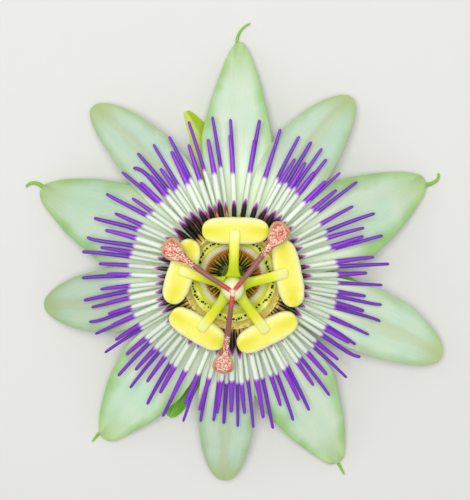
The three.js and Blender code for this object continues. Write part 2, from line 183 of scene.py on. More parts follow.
SHORT_ROW = {
    "ring": ((8.6, 11.85), (9.8, 11.85), (10.0, 14.2), (9.7, 14.4), (9.1, 13.5)),
    "start": 9.5, "height": 13.9, "arch": 0.6, "drop": 0.3, "vary": 0.1, "band": 0.0, "north": 1.0, "seed": 8,
    "girth": ((0.0, 0.12, 0.45, 0.62, 0.68, 0.9, 1.0), (0.8, 1.0, 1.12, 1.1, 1.0, 0.8, 0.62)),
    "filaments": SHORT_FILAMENTS,
    "hooks": {},
}

# The inner threads: their knobs stand on a line with five shallow lobes, between the stamens, and their feet
# in the bed below. The run gives shares of the way up, and the half width there.
THREAD = {"line": 7.75, "lobe": 0.45, "lobe_at": 54.0, "feet": (7.95, 8.4), "low": 11.8, "tall": (1.0, 1.35)}
THREAD_RUN = np.array(((0.0, 0.1), (0.3, 0.1), (0.6, 0.11), (0.78, 0.22), (0.9, 0.25), (1.0, 0.16))).T
THREAD_BED = ((7.0, 11.3), (8.9, 11.3), (8.9, 12.3), (8.2, 12.1), (7.0, 11.95))
LID = (
    (6.8, 11.35), (7.4, 11.35), (7.3, 12.1), (6.6, 12.15), (5.6, 11.95), (5.1, 11.6), (5.1, 11.35),
    (5.6, 11.65), (6.7, 11.8),
)
# The lid's fringe leaves its edge at `root` and falls by `fall`. Its pale threads lie `low` under the dark
# ones, and a share `shift` of a step on.
FRINGE = {"root": 5.75, "height": 11.8, "fall": 2.2}
FRINGE_ROWS = table("shift tips low half finish", (0.0, 2.4, 0.0, 0.18, 1), (0.5, 2.9, 0.05, 0.16, 2))

# A stamen filament reaches out along its azimuth. The middle of its anther is `out` from the axis and `slide`
# aside; the anther is turned by `swing` degrees from lying square across the filament.
STAMENS = table(
    "azimuth reach out slide swing length",
    (88.0, 11.2, 10.65, -0.1, 1.5, 13.1),
    (163.5, 11.3, 10.45, 0.5, -2.5, 13.4),
    (234.0, 11.4, 11.5, -0.4, 4.0, 12.3),
    (305.5, 11.8, 11.9, -0.15, -8.0, 13.0),
    (13.5, 11.2, 11.1, -0.5, -2.0, 13.5),
)
STRAP = {"from": 1.9, "height": 20.2, "arch": 0.5, "drop": 1.05, "foot": 1.75, "half": 1.0, "thick": 0.36}
COLUMN = {
    "foot": 1.9,
    "waist": 1.45,
    "head": extent("androgynophore")[1][0],
    "top": extent("androgynophore")[1][2],
}
OVARY_LOW, OVARY_HIGH = extent("ovary")
STYLES = table("azimuth reach", (50.8, 16.0), (146.8, 15.9), (263.0, 17.2))
# A style's half widths at the foot, of the stem and of its head, which is `depth` deep. Its line starts
# `from` the axis and `above` the ovary, rises by `rise` and falls by `drop`.
STYLE = {"foot": 0.42, "radius": 0.62, "head": 2.15, "depth": 1.0}
STYLE.update({"from": 0.95, "above": 0.35, "rise": 0.3, "drop": 5.0})
# The stigma's papillae crowd round a middle, within half lengths along and across. More are thinly `strewn`
# from that distance from the style's end down to `until` from the axis.
CROWD = {"middle": 3.2, "along": 2.35, "across": 0.75, "strewn": 5.2, "until": 8.8}


# ------------------------------------------------------------------ colours
def linear(code, alpha=1.0):
    """An sRGB hex colour turned linear: c/12.92 below 0.04045, otherwise ((c + 0.055)/1.055)^2.4."""
    parts = np.array([int(code[i:i + 2], 16) for i in (1, 3, 5)]) / 255
    straight = np.where(parts <= 0.04045, parts / 12.92, ((parts + 0.055) / 1.055) ** 2.4)
    return (*straight.tolist(), alpha)


def tint(name, description, code):
    """A colour that the user can change."""
    return FloatVectorProperty(
        name=name, description=description, subtype="COLOR", size=4, min=0.0, max=1.0, default=linear(code)
    )


def length(name, description, millimetres):
    """A length that the user can change, kept in metres."""
    metres = millimetres * MM
    return FloatProperty(
        name=name, description=description, subtype="DISTANCE", unit="LENGTH", min=0.0, default=metres
    )


# ------------------------------------------------------------------ shapes
def between(low, high, x):
    """0 below low, 1 above high, and the smooth step 3u^2 - 2u^3 between them; falls where low > high."""
    u = np.clip((x - low) / (high - low), 0, 1)
    return u * u * (3 - 2 * u)


def bell(x, width):
    """A bell-shaped hump, exp(-(x / width)^2): 1 at 0, and 0.37 at the width."""
    return np.exp(-((x / width) ** 2))


def wander(x, seed, speed):
    """A smooth wavy line within about -1 to 1: four sines of x, each faster and weaker than the last."""
    draw = np.random.default_rng(seed)
    total = np.zeros_like(x, dtype=float)
    for k in range(1, 5):
        total += np.sin(speed * k * draw.uniform(0.8, 1.25) * x + draw.uniform(0, 2 * np.pi)) / k
    return total / 1.6


def wavy(t, share, seed, speed):
    """Waves along a blade's two margins, each side its own, that die away as |share|^3 towards the midrib."""
    return np.abs(share) ** 3 * wander(t * np.sign(share), seed, speed)


def polar(azimuth, radius, aside, height):
    """Points at a plan radius along a direction in degrees, a sideways offset from it, and a height."""
    a = np.radians(azimuth)
    x = radius * np.cos(a) - aside * np.sin(a)
    y = radius * np.sin(a) + aside * np.cos(a)
    return np.stack(np.broadcast_arrays(x, y, height), axis=-1)


def around(columns):
    """Angles of a ring's points, in radians, anticlockwise about the way the skin grows."""
    return np.linspace(0, 2 * np.pi, columns, endpoint=False)


def circle(columns):
    """The cosines and sines of a ring's angles."""
    return np.cos(around(columns)), np.sin(around(columns))


def power(value, exponent):
    """A value's size raised to the exponent, with the value's own sign."""
    return np.sign(value) * np.abs(value) ** exponent


def domed(distance, size):
    """Share of its full width that a rounded end has at a distance from it: a quarter circle of the size."""
    u = 1 - np.clip(distance / size, 0, 1)
    return np.sqrt(np.clip(1 - u * u, 0.06, 1))


def tubes(path, across, deep, columns, flat=1.0):
    """Tubes about middle lines (copies, rows, 3) that never stand upright.

    A ring stands square to its line. Sideways and level it is across * cos(angle), and at right angles to
    that deep * sin(angle). Cosine and sine are raised to the power flat, which squares the section below 1.
    """
    way = np.gradient(path, axis=1)
    way /= np.linalg.norm(way, axis=-1, keepdims=True)
    side = np.cross((0.0, 0.0, 1.0), way)
    side /= np.linalg.norm(side, axis=-1, keepdims=True)
    over = np.cross(way, side)
    cosine, sine = (power(part, flat)[:, None] for part in circle(columns))
    across, deep = (np.broadcast_to(a, path.shape[:2])[..., None, None] for a in (across, deep))
    return path[:, :, None] + across * cosine * side[:, :, None] + deep * sine * over[:, :, None]


def spots_on(grid, *values):
    """The place of each point of a grid of rings: up to three arrays that fit the grid's points."""
    place = np.zeros_like(grid)
    for k, value in enumerate(values):
        place[..., k] = value
    return place


def turned(profile, columns, wave=None, ribs=None):
    """A profile of (radius, height) pairs carried round the axis.

    Its height is raised by wave(angle, radius), and its radius grows by the share ribs(angle).
    """
    radius, height = np.array(profile, float).T[..., None]
    angle = around(columns)
    if wave:
        height = height + wave(angle, radius)
    if ribs:
        radius = radius * (1 + ribs(angle))
    return polar(np.degrees(angle), radius, 0.0, height)[None]


def rounded(corners, bevel, steps=4, closed=False):
    """A run of corners with each one eased by the curve (1-u)^2 a + 2u(1-u) p + u^2 b.

    a and b lie on the two straight stretches, the bevel's length away from the corner p.
    """
    corners = np.array(corners, float)
    ends = []
    for shift in (1, -1):
        away = np.roll(corners, shift, axis=0) - corners
        ends.append(corners + away * np.minimum(bevel / np.hypot(*away.T), 0.45)[:, None])
    u = np.linspace(0, 1, steps)[:, None, None]
    eased = (1 - u) ** 2 * ends[0] + 2 * u * (1 - u) * corners + u ** 2 * ends[1]
    eased = eased.swapaxes(0, 1)
    if closed:
        return eased.reshape(-1, 2)
    return np.concatenate([corners[:1], eased[1:-1].reshape(-1, 2), corners[-1:]])


def balls(centre, radius, rows, columns):
    """Balls about centres (n, 3), each with its radius, as rings of latitude from the bottom up."""
    latitude = np.linspace(np.pi, 0, rows + 2)[1:-1, None]
    cosine, sine = circle(columns)
    unit = np.broadcast_arrays(np.sin(latitude) * cosine, np.sin(latitude) * sine, np.cos(latitude))
    return centre[:, None, None] + radius[:, None, None, None] * np.stack(unit, axis=-1)


def midrib(root, arch, drop):
    """The midrib's height: a low arch from the root that falls away towards the tip."""
    return lambda t: root + arch * np.sin(np.pi * t) - drop * t ** 2.2


def blade(leaf, seed, start, middle, lift, relief, thick, thin):
    """A leafy blade as one closed skin, and where each of its points lies on it.

    t runs from the foot (0) to the tip (1), the share across from -1 to 1 between the margins as the cosine
    of the ring's angle, and its sine is above 0 on the face and below 0 on the back. The height is the
    midrib's, plus lift(t, w) with w measured against the greatest half width, plus relief(t, share, aside,
    side), plus or minus half the thickness, which falls from thick at the midrib to thin near the margins.
    """
    run = 1 - (1 - np.linspace(0, 1, BLADE_ROWS)) ** 1.5  # rows get closer towards the tip
    t, angle = np.meshgrid(run, around(BLADE_COLUMNS), indexing="ij")
    share, side = np.cos(angle), np.sin(angle)
    rising = leaf["foot"] + (1 - leaf["foot"]) * np.sin(np.pi / 2 * np.clip(t / leaf["widest"], 0, 1))
    u = np.clip((t - leaf["widest"]) / (1 - leaf["widest"]), 0, 1)
    full = np.where(t < leaf["widest"], rising, (1 - u ** leaf["power"]) ** leaf["blunt"])
    ragged = 1 + 0.012 * wander(t * np.sign(share), seed, 19) * np.abs(share)
    aside = share * ((leaf["width"] / 2 - leaf["tip_half"]) * full * ragged + leaf["tip_half"])
    flesh = thin + (thick - thin) * (1 - share ** 2) * between(1.0, 0.8, t)
    height = middle(t) + lift(t, aside / (leaf["width"] / 2)) + relief(t, share, aside, side)
    azimuth = leaf["azimuth"] + (leaf["tip"] - leaf["azimuth"]) * t * t
    out = start + (leaf["reach"] - start) * t
    grid = polar(azimuth, out, aside, height + flesh / 2 * power(side, 0.5))
    return grid[None], np.stack([t, share, side], axis=-1)[None]


# ------------------------------------------------------------------ meshes
class Flesh:
    """Gathers closed skins into one mesh, with each point's place on its skin and a tone for each copy."""

    def __init__(self):
        self.values = []
        self.faces = []
        self.finish = []
        self.total = 0

    def add(self, grid, place=(0.0, 0.0, 0.0), tone=0.5, finish=0, looped=False):
        """Adds copies of a skin from a grid (copies, rows, columns, 3) whose columns close on themselves.

        The rows end in a pole at either end, or close on themselves too where looped. Rings run anticlockwise
        about the way the rows advance, so that the faces point outwards.
        """
        copies, rows, columns = grid.shape[:3]
        tone = np.broadcast_to(tone, grid.shape[:3])[..., None]
        values = np.concatenate([grid, np.broadcast_to(place, grid.shape), tone], axis=-1)
        index = np.arange(rows * columns).reshape(rows, columns)
        if looped:
            index = np.vstack([index, index[:1]])
        ring = np.hstack([index, index[:, :1]])
        quads = np.stack([ring[:-1, :-1], ring[:-1, 1:], ring[1:, 1:], ring[1:, :-1]], axis=-1)
        faces, points = [quads.reshape(-1, 4)], [values.reshape(copies, rows * columns, 7)]
        if not looped:
            points += [values[:, :1].mean(axis=2), values[:, -1:].mean(axis=2)]
            first, last = (np.full(columns, rows * columns + k) for k in (0, 1))
            faces.append(np.stack([first, ring[0, 1:], ring[0, :-1]], axis=-1))
            faces.append(np.stack([last, ring[-1, :-1], ring[-1, 1:]], axis=-1))
        points = np.concatenate(points, axis=1)
        for _ in range(copies):
            for corners in faces:
                self.faces.extend((corners + self.total).tolist())
                self.finish.extend([finish] * len(corners))
            self.total += points.shape[1]
        self.values.append(points.reshape(-1, 7))
        return self

    def grow(self, name, materials, slot, node):
        """Makes the piece: a smooth mesh in metres in the frame, riding on the root body for its CAD node."""
        values = np.concatenate(self.values)
        mesh = bpy.data.meshes.new(name)
        mesh.from_pydata((values[:, :3] * MM + AXIS).tolist(), [], self.faces)
        place = mesh.attributes.new("place", "FLOAT_VECTOR", "POINT")
        place.data.foreach_set("vector", values[:, 3:6].astype(np.float32).ravel())
        tone = mesh.attributes.new("tone", "FLOAT", "POINT")
        tone.data.foreach_set("value", values[:, 6].astype(np.float32))
        for material in materials:
            mesh.materials.append(material)
        mesh.polygons.foreach_set("material_index", self.finish)
        mesh.shade_smooth()
        mesh.update()
        piece = bpy.data.objects.new(name, mesh)
        bpy.context.scene.collection.objects.link(piece)
        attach(piece, "root")
        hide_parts(node)


# ------------------------------------------------------------------ materials
FACTOR, A, B, MIXED = 0, 6, 7, 2  # sockets of a Mix node set to colours
X, Y, Z, TONE = range(4)  # what a material reads from its piece
SHADE = object()  # marks a coat that shades what lies below it
SMOOTH = {"interpolation_type": "SMOOTHSTEP"}
# Tissue full of water: cells with a little less refraction than plastic, and light that goes in by 0.6 mm.
FLESH = {"IOR": 1.4, "Subsurface Scale": 0.6 * MM, "Subsurface Radius": (1.0, 0.8, 0.5)}


def node(tree, kind, inputs, out=0, stops=(), **settings):
    """Adds a node with its settings, its input values or links, and its colour stops; gives an output."""
    made = tree.nodes.new("ShaderNode" + kind)
    for key, value in settings.items():
        setattr(made, key, value)
    for key, value in inputs.items():
        if isinstance(value, bpy.types.NodeSocket):
            tree.links.new(value, made.inputs[key])
        else:
            made.inputs[key].default_value = value
    for i, (position, colour) in enumerate(stops):
        ramp = made.color_ramp.elements
        stop = ramp[i] if i < 2 else ramp.new(position)
        stop.position = position
        stop.color = colour
    return made.outputs[out] if made.outputs else None


def begin(name, *wanted):
    """An empty material, and an output for each thing wanted: X, Y or Z of the place on the skin, or TONE."""
    material = bpy.data.materials.new(name)
    material.use_nodes = True
    tree = material.node_tree
    tree.nodes.clear()
    outputs = []
    for part in wanted:
        if part == TONE:
            outputs.append(node(tree, "Attribute", {}, 2, attribute_name="tone"))
        else:
            place = node(tree, "Attribute", {}, 1, attribute_name="place")
            outputs.append(node(tree, "SeparateXYZ", {0: place}, part))
    return material, tree, *outputs


def flecks(tree, size, detail=3.0):
    """Noise on the piece's own coordinates, with blotches of the given size in millimetres."""
    here = node(tree, "TexCoord", {}, 3)
    return node(tree, "TexNoise", {"Vector": here, "Scale": 1 / (size * MM), "Detail": detail})


def shaken(tree, value, noise, spread):
    """A value moved up or down by up to the spread, as the noise says."""
    shift = node(tree, "MapRange", {0: noise, 3: -spread, 4: spread})
    return node(tree, "Math", {0: value, 1: shift}, operation="ADD")


def along_skin(tree, place, stops):
    """Colours along a skin: the stops are (place, colour) pairs in the place's own units, blended between."""
    first, last = stops[0][0], stops[-1][0]
    share = node(tree, "MapRange", {0: place, 1: first, 2: last})
    scaled = [((at - first) / (last - first), colour) for at, colour in stops]
    return node(tree, "ValToRGB", {0: share}, stops=scaled)


def close(material, tree, body, coats, bump, depth, roughness, glow=0.0):
    """Ends a material: coats over the body colour in turn, a bump of the depth in millimetres, glowing flesh.

    A coat is the share of it that shows and its colour, or SHADE and what the colour below is multiplied by.
    """
    for share, coat in coats:
        way = "MULTIPLY" if share is SHADE else "MIX"
        share = 1.0 if share is SHADE else share
        body = node(tree, "Mix", {FACTOR: share, A: body, B: coat}, MIXED, data_type="RGBA", blend_type=way)
    normal = node(tree, "Bump", {"Height": bump, "Distance": depth * MM, "Strength": 1.0})
    inputs = {"Base Color": body, "Roughness": roughness, "Normal": normal}
    if glow:
        inputs.update(FLESH, **{"Subsurface Weight": glow})
    node(tree, "OutputMaterial", {0: node(tree, "BsdfPrincipled", inputs)})
    return material


# A sepal has a waxy cuticle that gives it a satin sheen; a petal is thinner, so that more light glows in it.
# Both have blotches and grain of a size in millimetres. The green of the rim grows between two shares of the
# half width, `ragged` by the blotches, and that of the tip from a share of the length. The veins are drawn
# out along the blade, and `vein` is the light of the darkest.
SEPAL_TISSUE = {
    "blotch": 6.0, "detail": 2.0, "grain": 0.35, "ragged": 0.3, "rim": (0.5, 1.05), "tip": 0.74,
    "drawn": (2.2, 9.0, 1.0), "vein": 0.96, "sheen": (0.42, 0.56), "glow": 0.15,
}
PETAL_TISSUE = {
    "blotch": 3.5, "detail": 3.0, "grain": 0.3, "ragged": 0.16, "rim": (0.62, 1.0), "tip": 0.8,
    "drawn": (1.8, 10.0, 1.0), "vein": 0.95, "sheen": (0.45, 0.6), "glow": 0.2,
}


def tepal_tissue(name, s, tissue, rib=None, back=None):
    """Sepal or petal tissue: satin with fine veins, whitish and mint in the middle, greener at rim and tip.

    The foot is painted paler under the corona, painted light that lifts the shade of the filaments.
    A petal's midrib and a sepal's back have colours of their own.
    """
    material, tree, t, share, side, tone = begin(name, X, Y, Z, TONE)
    edge = node(tree, "Math", {0: share}, operation="ABSOLUTE")
    patches = flecks(tree, tissue["blotch"], tissue["detail"])
    shifted = shaken(tree, edge, patches, tissue["ragged"])
    cool = node(tree, "MapRange", {0: flecks(tree, 9.0, 1.0), 1: 0.42, 2: 0.62})
    coats = [(cool, s.mint)]
    if rib is not None:
        narrow = node(tree, "MapRange", {0: shifted, 1: 0.34, 2: 0.12}, **SMOOTH)
        coats.append((narrow, rib))
    rim = node(tree, "MapRange", {0: shifted, 1: tissue["rim"][0], 2: tissue["rim"][1]}, **SMOOTH)
    to_tip = node(tree, "MapRange", {0: t, 1: tissue["tip"], 2: 1.0, 4: 0.85}, **SMOOTH)
    along = node(tree, "CombineXYZ", {0: t, 1: share})
    drawn = node(tree, "Mapping", {0: along, 3: tissue["drawn"]})
    veins = node(tree, "TexNoise", {"Vector": drawn, "Scale": 3.0, "Detail": 4.0})
    vein_shade = node(tree, "MapRange", {0: veins, 1: 0.35, 2: 0.7, 3: 1.02, 4: tissue["vein"]})
    # Painted light: each blade's own light makes it lighter or darker as a whole, times its darker veins.
    light = node(tree, "Math", {0: vein_shade, 1: tone}, operation="MULTIPLY")
    # Painted light: the foot is painted paler where the corona's filaments shade it.
    lit_foot = node(tree, "MapRange", {0: t, 1: 0.56, 2: 0.22}, **SMOOTH)
    coats += [(rim, s.margin), (to_tip, s.tip), (SHADE, light), (lit_foot, s.foot)]
    if back is not None:
        behind = node(tree, "MapRange", {0: side, 1: 0.15, 2: -0.25}, **SMOOTH)
        coats.append((behind, back))
    fine = flecks(tree, tissue["grain"], 2.0)
    relief = node(tree, "Math", {0: fine, 1: veins}, operation="ADD")
    sheen = node(tree, "MapRange", {0: patches, 3: tissue["sheen"][0], 4: tissue["sheen"][1]})
    return close(material, tree, s.face, coats, relief, 0.03, sheen, tissue["glow"])


def green_bract(s):
    """Bract tissue, a small soft leaf: yellow-green, matt, lighter along its veins."""
    material, tree, t, share, tone = begin("bract_leaf_tissue", X, Y, TONE)
    edge = node(tree, "Math", {0: share}, operation="ABSOLUTE")
    half = node(tree, "MapRange", {0: share, 1: -0.15, 2: 0.2}, **SMOOTH)
    slant = node(tree, "Math", {0: edge, 1: -VEIN_SLANT, 2: t}, operation="MULTIPLY_ADD")
    beat = node(tree, "Math", {0: slant, 1: VEIN_BEAT}, operation="MULTIPLY")
    wave = node(tree, "Math", {0: beat}, operation="COSINE")
    vein = node(tree, "MapRange", {0: wave, 1: 0.82, 2: 1.0, 4: 0.45})
    rib = node(tree, "MapRange", {0: edge, 1: 0.07, 2: 0.02, 4: 0.7})
    mottle = node(tree, "MapRange", {0: flecks(tree, 2.5), 3: 0.85, 4: 1.12})
    coats = ((half, s.light), (tone, s.leaf), (vein, s.vein), (rib, s.vein), (SHADE, mottle))
    return close(material, tree, s.blade, coats, flecks(tree, 0.4), 0.05, 0.5, 0.1)


def fleshy_skin(name, main, other, size, roughness, depth=0.03, glow=0.15):
    """Smooth fleshy tissue, such as stalk or cup: one colour drifting into another in soft patches."""
    material, tree = begin(name)
    drift = node(tree, "MapRange", {0: flecks(tree, size), 1: 0.3, 2: 0.7})
    return close(material, tree, main, [(drift, other)], flecks(tree, 0.3), depth, roughness, glow)


def banded_filament(name, stops, dark):
    """Corona filament, a fleshy rod coloured in bands: the stops give colours at distances from the axis.

    Its flanks turn white, and then violet, nearer the axis than its back does, so each band ends in a point.
    On the flanks the violet is painted darker: painted shade where the round rod turns away from the light.
    """
    material, tree, radius, across, tone = begin(name, X, Y, TONE)
    flank = node(tree, "Math", {0: across, 1: across}, operation="MULTIPLY")
    taper = node(tree, "MapRange", {0: radius, 1: 15.0, 2: 19.0, 3: 1.55, 4: 0.12})
    pointed = node(tree, "Math", {0: flank, 1: taper, 2: radius}, operation="MULTIPLY_ADD")
    fine = flecks(tree, 0.5)
    place = shaken(tree, pointed, fine, 0.35)
    # Painted shade: the violet darkens towards the flanks of the rod.
    shade = node(tree, "MapRange", {0: flank, 1: 0.25, 2: 1.0, 4: 0.55})
    only_violet = node(tree, "MapRange", {0: place, 1: 20.5, 2: 21.5})
    flanks = node(tree, "Math", {0: shade, 1: only_violet}, operation="MULTIPLY")
    # The tone scales the colour: a random tone of each filament, and painted light by azimuth.
    change = node(tree, "MapRange", {0: tone, 3: 0.8, 4: 1.2})
    bands = along_skin(tree, place, stops)
    return close(material, tree, bands, [(flanks, dark), (SHADE, change)], fine, 0.04, 0.38, 0.2)


def ramp_skin(name, stops, roughness, size=0.4, vary=0.15):
    """Fleshy tissue whose colour changes along one of its own directions, a little unevenly."""
    material, tree, along, tone = begin(name, X, TONE)
    fine = flecks(tree, size)
    place = shaken(tree, along, fine, 0.05 * (stops[-1][0] - stops[0][0]))
    # The tone scales the colour: at random, and on the lid as painted shade and light in the pleats.
    change = node(tree, "MapRange", {0: tone, 3: 1 - vary, 4: 1 + vary})
    body = along_skin(tree, place, stops)
    return close(material, tree, body, [(SHADE, change)], fine, 0.03, roughness, 0.15)


def pollen_sac(s):
    """Anther skin, split and dusted with pollen: matt pale yellow, deeper in its channel, whitish rims."""
    material, tree, along, across, up = begin("anther_pollen_skin", X, Y, Z)
    edge = node(tree, "Math", {0: across}, operation="ABSOLUTE")
    shifted = shaken(tree, edge, flecks(tree, 2.4), 0.3)
    skin = along_skin(tree, shifted, ((0.55, s.skin), (0.85, s.rim)))
    to_ends = node(tree, "Math", {0: along}, operation="ABSOLUTE")
    ends = node(tree, "MapRange", {0: to_ends, 1: 0.15, 2: 0.75, 3: 0.35}, **SMOOTH)
    middle = node(tree, "MapRange", {0: shifted, 1: 0.75, 2: 0.05}, **SMOOTH)
    deep = node(tree, "Math", {0: ends, 1: middle}, operation="MULTIPLY")
    place = node(tree, "CombineXYZ", {0: along, 1: across, 2: up})
    drawn = node(tree, "Mapping", {0: place, 3: (0.8, 6.0, 1.0)})
    streaks = node(tree, "TexNoise", {"Vector": drawn, "Scale": 2.0, "Detail": 3.0})
    streak = node(tree, "MapRange", {0: streaks, 1: 0.5, 2: 0.75, 4: 0.5})
    grain = flecks(tree, 0.16, 2.0)
    dust = node(tree, "MapRange", {0: grain, 1: 0.58, 2: 0.72, 4: 0.4})
    coats = ((deep, s.furrow), (streak, s.furrow), (dust, s.rim))
    return close(material, tree, skin, coats, grain, 0.04, 0.65, 0.2)


def style_skin(s):
    """Style skin, smooth and fleshy: red at the foot, then mauve brown with redder edges; tan stigma rim."""
    material, tree, along, across, tone = begin("style_mauve_skin", X, Y, TONE)
    streaks = flecks(tree, 0.45)
    place = shaken(tree, along, streaks, 0.6)
    stops = [(0.4, s.junction), (0.9, s.foot), (2.0, s.foot), (3.5, s.arm), (10.0, s.arm), (11.5, s.neck)]
    stops.append((13.0, s.red))
    edge = node(tree, "Math", {0: across}, operation="ABSOLUTE")
    flanks = node(tree, "MapRange", {0: edge, 1: 0.55, 2: 0.95, 4: 0.55}, **SMOOTH)
    past_foot = node(tree, "MapRange", {0: along, 1: 0.8, 2: 3.0})
    reddened = node(tree, "Math", {0: flanks, 1: past_foot}, operation="MULTIPLY")
    # Pale pink streaks towards the stigma: partly papillae, partly painted highlights of the wet skin.
    light = node(tree, "MapRange", {0: streaks, 1: 0.55, 2: 0.66})
    near = node(tree, "MapRange", {0: along, 1: 6.0, 2: 12.0, 4: 0.9})
    amount = node(tree, "Math", {0: light, 1: near}, operation="MULTIPLY")
    coats = ((reddened, s.neck), (amount, s.papilla), (tone, s.rim))
    return close(material, tree, along_skin(tree, place, stops), coats, streaks, 0.05, 0.42, 0.1)


def papilla_skin(s):
    """Stigma papillae, wet little bumps: each its own pink, from nearly white to dark red."""
    material, tree, tone = begin("stigma_papillae", TONE)
    body = along_skin(tree, tone, ((0.16, s.red), (0.26, s.papilla), (0.58, s.papilla), (0.7, s.pale)))
    return close(material, tree, body, (), flecks(tree, 0.15), 0.02, 0.3, 0.15)


def plain_floor(s):
    """Painted studio floor: pale and matt, with the faint unevenness of a rolled coat."""
    material, tree = begin("studio_floor_paint")
    rolled = flecks(tree, 6.0, 2.0)
    shade = node(tree, "MapRange", {0: rolled, 3: 0.985, 4: 1.0})
    return close(material, tree, s.floor, [(SHADE, shade)], rolled, 0.02, 0.9)


# ------------------------------------------------------------------ settings
class StageSettings(bpy.types.PropertyGroup):
    """The floor, the lights and the camera."""

    floor: tint("Floor", "Colour of the studio floor", "#e6e5e1")
    key: FloatProperty(name="Key", description="Strength of the large soft light", unit="POWER", default=2.2)
    fill: FloatProperty(name="Fill", description="Strength of the light all round", default=0.38)
    lens: FloatProperty(name="Lens", description="Focal length in millimetres", default=108.0)


class StalkSettings(bpy.types.PropertyGroup):
    """The stub of the stalk and the three bracts."""

    stalk: tint("Stalk", "Colour of the stalk", "#84b040")
    pith: tint("Pith", "Lighter green of the cut end", "#c3d68f")
    leaf: tint("Bract", "Green of the shaded bracts", "#62b004")
    blade: tint("Yellowish bract", "Deeper half of the bract that the sun has yellowed", "#b0cc1c")
    light: tint("Yellowish bract, light half", "Lighter half of that bract", "#d8e66c")
    vein: tint("Bract veins", "Colour of the veins", "#b4cc5c")
    thickness: length("Bract thickness", "Thickness at the midrib", 0.42)


class CupSettings(bpy.types.PropertyGroup):
    """The floral cup."""

    skin: tint("Skin", "Colour of the cup", "#bcd088")
    patch: tint("Patches", "Colour it drifts into", "#a5c06a")


class SepalSettings(bpy.types.PropertyGroup):
    """The five sepals with their awns."""

    face: tint("Face", "Whitish middle of the face", "#d6e8ce")
    mint: tint("Mint", "Cooler patches of the face", "#c8e6c8")
    margin: tint("Margin", "Greener band near the margins", "#9cca78")
    tip: tint("Tip", "Green of the tip", "#b6d48c")
    # Painted light: a paler foot that lifts the shade the corona casts on it.
    foot: tint("Foot", "Pale foot under the corona", "#eeffdc")
    back: tint("Back", "Green of the back", "#8fb765")
    awn: tint("Awn", "Green of the awn", "#93c83a")
    awn_shade: tint("Awn shade", "Deeper green that the awn drifts into", "#86ba4a")
    thickness: length("Thickness", "Thickness at the midrib", 0.62)
    keel: length("Keel", "Height of the keel behind, which ends in the awn", 0.9)


class PetalSettings(bpy.types.PropertyGroup):
    """The five petals."""

    face: tint("Face", "Greenish white of the blade", "#d0e5c8")
    mint: tint("Mint", "Cooler patches of the blade", "#c6e3cb")
    midrib: tint("Midrib", "Yellow-green along the midrib", "#c9dbb8")
    margin: tint("Margin", "Green of the margins", "#b0cd9e")
    tip: tint("Tip", "Green of the tip", "#b8cc84")
    # Painted light: a paler foot that lifts the shade the corona casts on it.
    foot: tint("Foot", "Pale foot under the corona", "#eeffdc")
    thickness: length("Thickness", "Thickness at the midrib", 0.45)


class CoronaSettings(bpy.types.PropertyGroup):
    """The two outer rows of filaments."""

    thickness: length("Thickness", "Thickness of a filament at its thickest", 1.0)
    ring: tint("Ring", "Yellow-green of the ring they grow from", "#f6f88e")
    blush: tint("Blush", "Orange tan smudges on the ring", "#efbc66")
    tan: tint("Foot", "Tan just outside the ring", "#d8a856")
    black: tint("Dark band", "Blackish band near the foot", "#14170a")
    maroon: tint("Maroon", "End of the dark band", "#3b0b2c")
    crimson: tint("Crimson", "Marks on the long row's feet", "#a33a55")
    purple: tint("Purple", "Purple point after the dark band", "#8c3a9c")
    mauve: tint("Mauve", "Light purple that the point fades into", "#b877b8")
    white: tint("White", "White middle band", "#e0ebda")
    lavender: tint("Lavender", "Where the white turns violet", "#c9a6ea")
    short_violet: tint("Short violet", "Violet of the short row", "#8f3ad2")
    violet_tip: tint("Violet tips", "Violet at the tips of the short row", "#873cc2")
    long_violet: tint("Long violet", "Violet of the long row", "#7a34c2")
    # Painted shade: the darker violet painted on the flanks of each filament's violet end.
    flank_shade_violet: tint("Dark violet", "Violet of the flanks", "#5a20a0")


class CrownSettings(bpy.types.PropertyGroup):
    """The inner row of knobbed threads, and the fringed lid over the nectar."""

    threads: IntProperty(name="Threads", description="Number of knobbed threads", default=84, min=5)
    stem: tint("Thread", "Yellow-green of the threads", "#d0dc4a")
    bed: tint("Bed", "Yellow-green of the ledge that they stand on", "#f4f48c")
    knob: tint("Knob", "Dark green of the knobs", "#1c2608")
    fringe: IntProperty(name="Fringe", description="Number of dark threads in the fringe", default=41, min=5)
    membrane: tint("Membrane", "Greyish cream of the lid", "#d6d4ae")
    membrane_rim: tint("Membrane rim", "Yellow-green at the lid's rim", "#ced62e")
    umber: tint("Umber", "Dark brown between rust and black", "#74400c")
    rust: tint("Rust", "Rusty brown of the fringe's roots", "#b06c24")
    # Partly own colour, partly painted shade: the blackish green of the fringe over the deep nectar chamber.
    dark: tint("Dark", "Blackish green of the fringe's tips", "#0d1a08")
    straw: tint("Straw", "Pale threads between the dark ones", "#d8b840")


class StamenSettings(bpy.types.PropertyGroup):
    """The column, the stamen filaments and the anthers."""

    green: tint("Green", "Yellow-green of the column", "#bccf0e")
    yellow_green: tint("Yellow-green", "Yellow-green of the filaments' first half", "#d2dc14")
    yellow: tint("Yellow", "Bright yellow of the filaments", "#ecec44")
    cream: tint("Cream", "Pale ends of the filaments", "#f8f69a")
    skin: tint("Anther", "Yellow of the anthers", "#f9f37a")
    furrow: tint("Anther channel", "Deeper yellow along the channel", "#ebe53a")
    rim: tint("Anther rim", "Pale rims of the anthers", "#fffdb8")
    anther_width: length("Anther width", "Width of an anther", 5.4)
    anther_depth: length("Anther depth", "Depth of an anther", 2.4)


class OvarySettings(bpy.types.PropertyGroup):
    """The ovary."""

    ovary: tint("Ovary", "Pale green of the ovary", "#f0fab0")
    bloom: tint("Ovary bloom", "Whitish bloom on the ovary", "#f7fec8")


